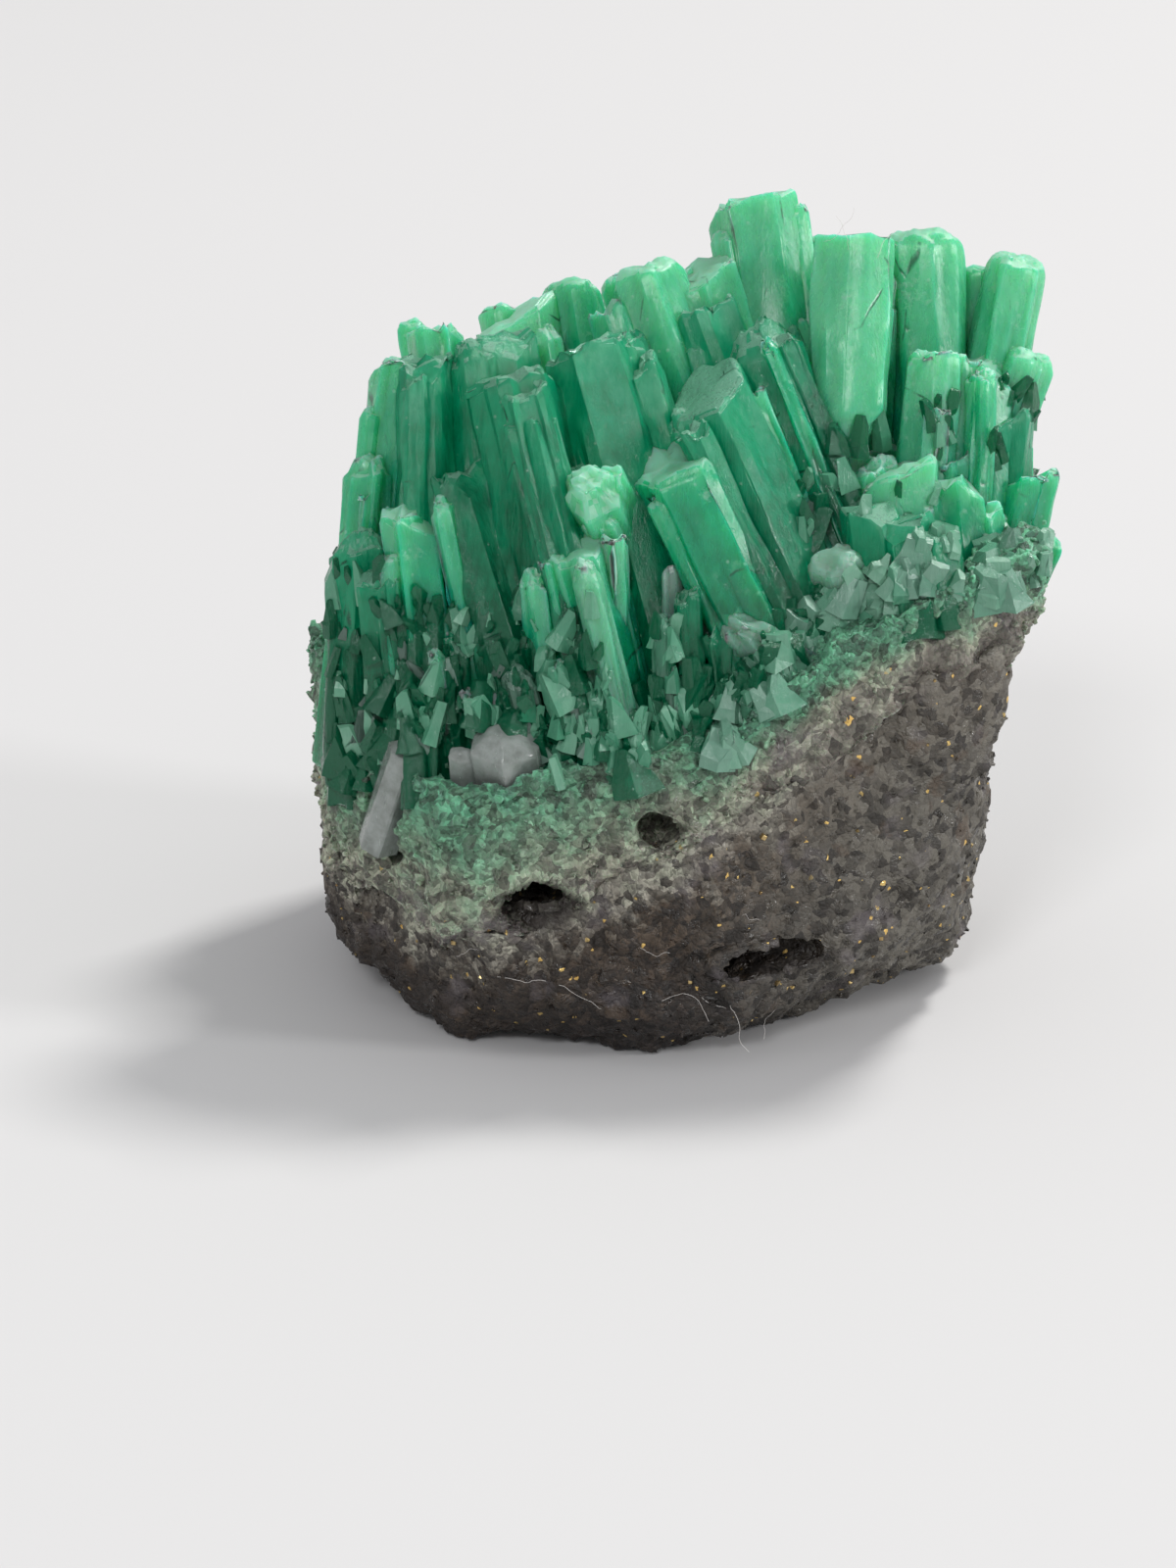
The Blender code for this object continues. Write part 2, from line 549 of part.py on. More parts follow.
def packed(x, y):
    """Tip, lower point and the rest of the row for the packed crystal that stands here."""
    away = Vector([noise.noise(Vector((x * 0.7, y * 0.7, 7.3 * axis))) for axis in range(3)])
    away *= PACK_JITTER * 2
    width = PACK_WIDTH * (0.9 + 0.15 * away.x)
    foot = Vector((x + away.x, y + away.y, crown_height(x, y)))
    for point, outward in SIDE_FACES.values():
        outward = Vector(outward).normalized()
        over = outward.dot(foot - Vector(point)) + width * 0.54 + PACK_WALL
        foot -= Vector((outward.x, outward.y, 0)) * max(0.0, over)
    up = along(RIDGE, x) + along(RIDGE_FALL, y) + away.z * 1.3
    lean = Vector((along(LEAN_ACROSS, x), along(LEAN_BACK, y), 1)) + Vector((away.y, away.x, 0)) * 0.06
    tip = foot + lean * max(up - foot.z, 2.0)
    kind = ("flat", "slant", "flat", "point")[int(abs(away.x * 97)) % 4]
    return tip, tip - lean, (width, 0.9, away.y * 90, kind)


def emerald_cluster(parts, shafts, roots, sockets):
    """The intergrown emeralds as one solid, and the sockets that they leave in the crust."""
    first = None
    for name, tip, low, rest, length in all_emeralds():
        mesh = mesh_from(crystal(tip, low, *rest, length=length), name)
        if first is None:
            first = add_object("emerald_cluster", mesh, parts, "emerald")
        else:
            add_cutter(f"shaft_{name}", mesh, shafts)
        socket = mesh_from(crystal(tip, low, *rest, spare=GAP, length=length), name)
        add_cutter(f"socket_{name}", socket, sockets)
    boolean(first, "UNION", shafts)
    boolean(first, "DIFFERENCE", roots)
    bake(first)
    clean(first)


def hollow(sockets, floors, cutters):
    """What the crust leaves free: a basin for the crystals in the middle and the sockets round it."""
    inset = {name: -BASIN_INSET for name in SIDE_FACES | UNDER_FACES}
    made = add_cutter("hollow", mesh_from(lump(inset, 4, 60), "hollow"), cutters)
    boolean(made, "UNION", sockets)
    boolean(made, "DIFFERENCE", floors)
    bake(made)


def quartzes(parts, *cutters):
    """The grey crystals, and the sockets that they leave in their neighbours."""
    for name, (tip, low, *rest) in QUARTZES.items():
        tip, low = place(*tip), place(*low)
        length = (tip - low).length
        add_object(name, mesh_from(crystal(tip, low, *rest, length=length), name), parts, "quartz")
        socket = mesh_from(crystal(tip, low, *rest, spare=GAP, length=length), name)
        add_cutter(f"socket_{name}", socket, *cutters)


def centre(parts):
    """Moves the origin under the middle of the specimen."""
    corners = [made.matrix_world @ Vector(corner) for made in parts.objects for corner in made.bound_box]
    middle = [(min(c[axis] for c in corners) + max(c[axis] for c in corners)) / 2 for axis in (0, 1)]
    for made in parts.objects:
        made.data.transform(Matrix.Translation((-middle[0], -middle[1], 0)))


def new_collection(name, shown=True):
    """A collection in the scene, for parts or for helpers."""
    made = bpy.data.collections.new(name)
    bpy.context.scene.collection.children.link(made)
    made.hide_render = not shown
    return made


def main():
    for old in list(bpy.data.objects):
        bpy.data.objects.remove(old)
    parts = new_collection("emerald_in_matrix")
    rock_cutters = new_collection("rock_cutters", shown=False)
    crust_cutters = new_collection("crust_cutters", shown=False)
    shafts = new_collection("shafts", shown=False)
    sockets = new_collection("sockets", shown=False)
    roots = new_collection("roots", shown=False)
    floors = new_collection("floors", shown=False)
    pit_cutters(rock_cutters, crust_cutters)
    block_from("above_seam", seam_height, 60, rock_cutters)
    block_from("underneath", foot_height, -20, rock_cutters)
    block_from("below_rim", rim_height, -20, crust_cutters)
    block_from("above_crown", crown_height, 60, crust_cutters)
    block_from("below_roots", root_height, -20, roots)
    block_from("below_hollow", hollow_height, -20, floors)
    rock(parts, rock_cutters)
    quartzes(parts, roots, crust_cutters)
    emerald_cluster(parts, shafts, roots, sockets)
    hollow(sockets, floors, crust_cutters)
    crust(parts, crust_cutters)
    centre(parts)


main()
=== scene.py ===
import math
import random

import bpy
import numpy
from mathutils import Euler, Matrix, Vector, noise
from mathutils.bvhtree import BVHTree


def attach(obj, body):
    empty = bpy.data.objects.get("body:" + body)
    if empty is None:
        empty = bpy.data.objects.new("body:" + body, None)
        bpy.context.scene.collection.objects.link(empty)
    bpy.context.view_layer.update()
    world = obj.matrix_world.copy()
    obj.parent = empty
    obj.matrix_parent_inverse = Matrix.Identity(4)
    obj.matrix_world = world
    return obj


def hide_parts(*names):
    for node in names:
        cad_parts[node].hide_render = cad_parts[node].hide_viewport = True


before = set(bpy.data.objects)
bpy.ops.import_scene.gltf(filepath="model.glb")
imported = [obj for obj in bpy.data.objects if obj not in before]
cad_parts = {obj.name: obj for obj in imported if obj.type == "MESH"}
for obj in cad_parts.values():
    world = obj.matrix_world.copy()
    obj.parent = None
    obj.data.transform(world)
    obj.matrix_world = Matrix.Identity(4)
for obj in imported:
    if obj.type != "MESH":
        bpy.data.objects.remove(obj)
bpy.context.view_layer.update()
mm = 0.001
print("frame loaded:", sorted(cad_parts))


# where things are: front places are (across, up, back) in millimetres, as the eye sees them
eye = {
    "tilt": math.radians(20),
    "distance": 200.0,
    "aim": Vector((-4.56, 0.0, 8.48)),
    "across": -4.56,
    "up": 13.44,
    "lens": 93.75,
}
forward = Vector((0, math.cos(eye["tilt"]), -math.sin(eye["tilt"])))
upward = Vector((0, math.sin(eye["tilt"]), math.cos(eye["tilt"])))
pupil = eye["aim"] - forward * eye["distance"]
centring = Vector((0.445, 0.37, 0.0))  # the specimen's middle stands over the origin

# two uneven layers: their height across the front, how they rise to the back, and their relief
front = -13
seam = {
    "line": ((-18, 5.6), (-14, 5.4), (-10, 5.0), (-3.6, 8.2), (4, 12.6), (10.8, 16.6), (18, 17.6)),
    "rise": 0.09, "relief": 1.6, "scale": 0.31, "seed": 4.0,
}
crown = {
    "line": (
        (-18, 14.0), (-14, 13.8), (-8, 14.9), (-3.6, 14.8), (0.5, 15.6), (4, 18.2), (8, 21.0),
        (12, 22.6), (18, 22.4),
    ),
    "rise": 0.05, "relief": 1.8, "scale": 0.37, "seed": 9.0,
}


def easy(value):
    value = min(1.0, max(0.0, value))
    return value * value * (3 - 2 * value)


def along(points, at):
    for (low, first), (high, second) in zip(points, points[1:]):
        if at <= high:
            return first + (second - first) * max(0.0, at - low) / (high - low)
    return points[-1][1]


def placeAt(across, up, back):
    line = eye["aim"] + Vector((across - eye["across"], 0, 0)) + upward * (up - eye["up"]) - pupil
    return pupil + line * ((back - pupil.y) / line.y)


def heightOf(layer, x, y):
    relief = noise.noise(Vector((x * layer["scale"], y * layer["scale"], layer["seed"]))) * layer["relief"]
    return along(layer["line"], x) + layer["rise"] * (y - front) + relief


def designPlace(point):
    return point / mm - centring


def scenePlace(x, y, z):
    return (Vector((x, y, z)) + centring) * mm


def pick(limits, share):
    return limits[0] + (limits[1] - limits[0]) * share


# small helpers for working on meshes
def selectOnly(*objects):
    if bpy.context.object and bpy.context.object.mode == "EDIT":
        bpy.ops.object.mode_set(mode="OBJECT")
    bpy.ops.object.select_all(action="DESELECT")
    for item in objects:
        item.select_set(True)
    bpy.context.view_layer.objects.active = objects[0] if objects else None


def editAll():
    bpy.ops.object.mode_set(mode="EDIT")
    bpy.ops.mesh.select_all(action="SELECT")


def selectFaces(item, chosen):
    # call in object mode; leaves the object in edit mode with these faces selected
    bpy.ops.object.mode_set(mode="EDIT")
    bpy.ops.mesh.select_mode(type="FACE")
    bpy.ops.mesh.select_all(action="DESELECT")
    bpy.ops.object.mode_set(mode="OBJECT")
    for face in item.data.polygons:
        face.select = chosen(face)
    bpy.ops.object.mode_set(mode="EDIT")


def linked(name, content):
    made = bpy.data.objects.new(name, content)
    bpy.context.scene.collection.objects.link(made)
    return made


def applyAll(item):
    selectOnly(item)
    for modifier in list(item.modifiers):
        bpy.ops.object.modifier_apply(modifier=modifier.name)


def addDisplace(item, texture, strength, middle=0.5, guide=None):
    modifier = item.modifiers.new(texture.name, "DISPLACE")
    modifier.texture = texture
    modifier.texture_coords = "OBJECT" if guide else "LOCAL"
    if guide:
        modifier.texture_coords_object = guide
    modifier.strength = strength * mm
    modifier.mid_level = middle


def clouds(name, size, basis="BLENDER_ORIGINAL", depth=2, contrast=1.0):
    texture = bpy.data.textures.new(name, "CLOUDS")
    texture.noise_scale = size
    texture.noise_basis = basis
    texture.noise_depth = depth
    texture.contrast = contrast
    return texture


def giveAttribute(item, name, values, domain="POINT"):
    layer = item.data.attributes.get(name) or item.data.attributes.new(name, "FLOAT", domain)
    layer.data.foreach_set("value", values)


def readRise(mesh):
    values = numpy.empty(len(mesh.vertices))
    mesh.attributes["rise"].data.foreach_get("value", values)
    return values


def fillRise(item):
    # points made where crystals meet take their height from the points around them
    mesh = item.data
    edges = numpy.empty(len(mesh.edges) * 2, int)
    mesh.edges.foreach_get("vertices", edges)
    starts, ends = edges[::2], edges[1::2]
    values = readRise(mesh)
    for turn in range(8):
        known = values != 0
        total = numpy.zeros(len(values))
        count = numpy.zeros(len(values))
        for here, there in ((starts, ends), (ends, starts)):
            numpy.add.at(total, here, values[there] * known[there])
            numpy.add.at(count, here, known[there])
        fresh = ~known & (count > 0)
        values[fresh] = total[fresh] / count[fresh]
    giveAttribute(item, "rise", values)


hollow = {"over": 9.0, "from": 0.5, "rightOf": 3.0, "across": 5.0, "least": 0.25}


def shadeHollowFoot(item):
    # painted shade: the foot of the cluster is darkened on the left, where it is hollow and the crystals are
    # clear, by lowering rise there
    values = readRise(item.data)
    for vertex in item.data.vertices:
        x, y, z = designPlace(vertex.co)
        above = easy((z - heightOf(crown, x, y) + hollow["from"]) / hollow["over"])
        lift = min(1.0, above + easy((x - hollow["rightOf"]) / hollow["across"]))
        values[vertex.index] *= hollow["least"] + (1 - hollow["least"]) * lift
    giveAttribute(item, "rise", values)


def finishPiece(item, slot, material, *nodes, smooth=None):
    if material:
        item.data.materials.clear()
        item.data.materials.append(material)
    if smooth is not None:
        selectOnly(item)
        bpy.ops.object.shade_smooth_by_angle(angle=math.radians(smooth))
    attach(item, "root")
    if nodes:
        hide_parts(*nodes)
    item.data.calc_loop_triangles()
    print(item.name, "has", len(item.data.loop_triangles), "triangles")


# shader helpers
def newGroup(name, number, value, outputs):
    # takes a place and a number, and gives numbers
    group = bpy.data.node_groups.new(name, "ShaderNodeTree")
    group.interface.new_socket(name="Place", in_out="INPUT", socket_type="NodeSocketVector")
    socket = group.interface.new_socket(name=number, in_out="INPUT", socket_type="NodeSocketFloat")
    socket.default_value = value
    for label in outputs:
        group.interface.new_socket(name=label, in_out="OUTPUT", socket_type="NodeSocketFloat")
    given = group.nodes.new("NodeGroupInput").outputs
    return group, Wiring(group), given["Place"], given[number], group.nodes.new("NodeGroupOutput")


class Wiring:
    # adds nodes to one tree and links them by what they are given
    def __init__(self, tree):
        self.tree = tree

    def feed(self, socket, value):
        if isinstance(value, bpy.types.NodeSocket):
            self.tree.links.new(value, socket)
        else:
            socket.default_value = value

    def give(self, node, **inputs):
        for name, value in inputs.items():
            self.feed(node.inputs[name.replace("_", " ")], value)

    def inOrder(self, node, *values):
        for socket, value in zip(node.inputs, values):
            self.feed(socket, value)
        return node.outputs[0]

    def add(self, kind, output=0, settings=None, **inputs):
        node = self.tree.nodes.new(kind)
        for name, value in (settings or {}).items():
            setattr(node, name, value)
        self.give(node, **inputs)
        return node.outputs[output]

    def maths(self, operation, *values, kind="ShaderNodeMath"):
        node = self.tree.nodes.new(kind)
        node.operation = operation
        return self.inOrder(node, *values)

    def plus(self, first, second):
        return self.maths("ADD", first, second)

    def times(self, first, second):
        return self.maths("MULTIPLY", first, second)

    def scaled(self, value, factor, offset):
        return self.maths("MULTIPLY_ADD", value, factor, offset)

    def mix(self, amount, first, second, blend="MIX"):
        node = self.tree.nodes.new("ShaderNodeMix")
        node.data_type = "RGBA"
        node.blend_type = blend
        for socket, value in ((0, amount), (6, first), (7, second)):
            self.feed(node.inputs[socket], value)
        return node.outputs[2]

    def span(self, value, low, high, toLow=0.0, toHigh=1.0, kind="LINEAR"):
        node = self.tree.nodes.new("ShaderNodeMapRange")
        node.interpolation_type = kind
        return self.inOrder(node, value, low, high, toLow, toHigh)

    def ramp(self, value, *stops):
        node = self.tree.nodes.new("ShaderNodeValToRGB")
        for index, (position, colour) in enumerate(stops):
            stop = node.color_ramp.elements[index] if index < 2 else node.color_ramp.elements.new(position)
            stop.position = position
            stop.color = colour
        return self.inOrder(node, value)

    def attribute(self, name):
        return self.add("ShaderNodeAttribute", 2, {"attribute_name": name})

    def coordinates(self, stretch=(1, 1, 1), turn=(0, 0, 0)):
        position = self.add("ShaderNodeTexCoord", 3)
        size = [1 / mm * share for share in stretch]
        return self.add("ShaderNodeMapping", Vector=position, Scale=size, Rotation=turn)

    def noise(self, place, scale, detail=4.0, rough=0.55, output=0):
        return self.add("ShaderNodeTexNoise", output, Vector=place, Scale=scale, Detail=detail, Roughness=rough)

    def voronoi(self, place, scale, output=0, feature="F1"):
        return self.add("ShaderNodeTexVoronoi", output, {"feature": feature}, Vector=place, Scale=scale)

    def bump(self, strength, distance, height):
        return self.add("ShaderNodeBump", Strength=strength, Distance=distance * mm, Height=height)

    def group(self, group, **inputs):
        node = self.tree.nodes.new("ShaderNodeGroup")
        node.node_tree = group
        self.give(node, **inputs)
        return node.outputs


def newMaterial(name):
    material = bpy.data.materials.new(name)
    material.use_nodes = True
    tree = material.node_tree
    return material, Wiring(tree), tree.nodes["Principled BSDF"]


def makeClear(wiring, shader, look):
    # see-through by plain transmission, IOR and absorption
    wiring.give(shader, Transmission_Weight=look["transmission"], IOR=look["ior"])
    absorbed = wiring.add("ShaderNodeVolumeAbsorption", Color=look["absorption"], Density=look["density"])
    wiring.give(wiring.tree.nodes["Material Output"], Volume=absorbed)


def grainGroup():
    # rounded grains: a tone and a spark for each grain, and a height for bumps
    group, wiring, place, size, result = newGroup("grains", "Size", 0.5, ("Tone", "Spark", "Height"))
    scale = wiring.maths("DIVIDE", 1.0, size)
    bent = wiring.noise(place, 1.4, 2.0, output=1)
    moved = wiring.maths("MULTIPLY_ADD", bent, (0.5, 0.5, 0.5), place, kind="ShaderNodeVectorMath")
    fine = wiring.voronoi(moved, wiring.times(scale, 2.7))
    split = wiring.add("ShaderNodeSeparateColor", Color=wiring.voronoi(moved, scale, 1)).node.outputs
    height = wiring.scaled(fine, -0.35, wiring.scaled(wiring.voronoi(moved, scale), -1.0, 1.0))
    wiring.give(result, Tone=split[0], Spark=split[1], Height=height)
    return group


def dustGroup():
    # pale dust and etching that lies in patches
    group, wiring, place, amount, result = newGroup("dust", "Amount", 0.5, ("Mask", "Height"))
    fine = wiring.noise(place, 3.2, 4.0, 0.7)
    both = wiring.scaled(fine, 0.45, wiring.noise(place, 0.55, 5.0, 0.65))
    low = wiring.scaled(amount, -0.55, 1.05)
    mask = wiring.span(both, low, wiring.plus(low, 0.22), kind="SMOOTHSTEP")
    wiring.give(result, Mask=mask, Height=fine)
    return group


grains = grainGroup()
dust = dustGroup()


# emerald
emeraldLook = {
    "frost": (0.38, 0.62, 0.50, 1),
    "greyed": (0.26, 0.32, 0.30, 1),
    "crack": (0.01, 0.09, 0.05, 1),
    "ior": 1.58,
    "absorption": (0.10, 0.90, 0.58, 1),
    "scatter": (0.25, 1.0, 0.6),
    "scatterDepth": 2.2 * mm,
}
emeraldFinishes = {
    # how clear it is, what it absorbs in a metre, how rough it is at least, then its streaks and greens
    "emeraldWaxy": {
        "transmission": 0.16, "density": 80.0, "rough": 0.20, "streaks": 0.16, "powder": 0.40, "bump": 0.28,
        "milkiness": 1.0, "shine": 0.5,
        "deep": (0.0, 0.19, 0.085, 1), "green": (0.005, 0.42, 0.20, 1), "mint": (0.14, 0.62, 0.34, 1),
    },
    "emeraldGlassy": {
        "transmission": 0.45, "density": 60.0, "rough": 0.05, "streaks": 0.50, "powder": 0.30, "bump": 0.70,
        "milkiness": 0.0, "shine": 0.3,
        "deep": (0.0, 0.16, 0.07, 1), "green": (0.0, 0.43, 0.20, 1), "mint": (0.08, 0.64, 0.36, 1),
    },
    "emeraldSugar": {
        "transmission": 0.20, "density": 60.0, "rough": 0.12, "streaks": 0.40, "powder": 0.45, "bump": 0.50,
        "milkiness": 0.0, "shine": 0.5,
        "deep": (0.03, 0.20, 0.11, 1), "green": (0.10, 0.36, 0.22, 1), "mint": (0.26, 0.52, 0.37, 1),
    },
}


def emeraldMaterial(name):
    look = {**emeraldLook, **emeraldFinishes[name]}
    material, wiring, shader = newMaterial(name)
    place = wiring.coordinates()
    rise, milk, cap, tone, grey = map(wiring.attribute, ("rise", "milk", "cap", "tone", "grey"))
    strands = wiring.coordinates((1.0, 1.0, 0.16), (0.05, -0.12, 0))
    streaks = wiring.noise(strands, 2.6, 5.0, 0.6)
    cloudy = wiring.noise(place, 0.5, 3.0, 0.6)
    # painted shade: the green deepens towards the roots, where the crystals crowd together, by the rise
    # attribute
    level = wiring.scaled(rise, 0.78, wiring.scaled(tone, 0.36, -0.27))
    level = wiring.plus(level, wiring.scaled(streaks, look["streaks"], look["streaks"] * -0.5))
    level = wiring.plus(level, wiring.scaled(cloudy, 0.7, -0.35))
    level = wiring.plus(level, wiring.scaled(milk, 0.62, -0.28))
    colour = wiring.ramp(level, (0.05, look["deep"]), (0.95, look["mint"]), (0.5, look["green"]))
    # frosted caps, patches and flecks
    powder = wiring.group(dust, Place=place, Amount=look["powder"])
    frosting = wiring.maths("MAXIMUM", powder["Mask"], wiring.times(cap, 0.7))
    # the pale frost is thinned towards the roots too, keeping the painted shade there
    frosting = wiring.times(frosting, wiring.span(rise, 0.15, 0.75, 0.3, 1.0))
    flecks = wiring.times(wiring.span(wiring.voronoi(place, 1.3), 0.14, 0.04), wiring.span(cloudy, 0.46, 0.58))
    frosting = wiring.maths("MAXIMUM", frosting, flecks)
    colour = wiring.mix(wiring.times(frosting, 0.68), colour, look["frost"])
    colour = wiring.mix(wiring.times(grey, 0.75), colour, look["greyed"])
    # thin healed cracks
    lines = wiring.voronoi(wiring.coordinates((1, 1, 0.7), (0.4, 0.2, 0)), 0.22, 0, "DISTANCE_TO_EDGE")
    cracks = wiring.times(wiring.span(lines, 0.012, 0.003), wiring.span(cloudy, 0.55, 0.62))
    colour = wiring.mix(wiring.times(cracks, 0.8), colour, look["crack"])
    rough = wiring.span(streaks, 0.35, 0.7, look["rough"], look["rough"] + 0.16)
    height = wiring.scaled(wiring.noise(strands, 9.0, 4.0, 0.7), 0.5, streaks)
    height = wiring.scaled(wiring.times(powder["Height"], frosting), 0.9, height)
    height = wiring.scaled(cracks, -0.6, height)
    makeClear(wiring, shader, look)
    wiring.give(
        shader, Base_Color=colour, Roughness=wiring.scaled(frosting, 0.26, rough),
        Normal=wiring.bump(look["bump"], 0.12, height), Specular_IOR_Level=look["shine"],
        Subsurface_Weight=look["milkiness"], Subsurface_Radius=look["scatter"],
        Subsurface_Scale=look["scatterDepth"],
    )
    return material


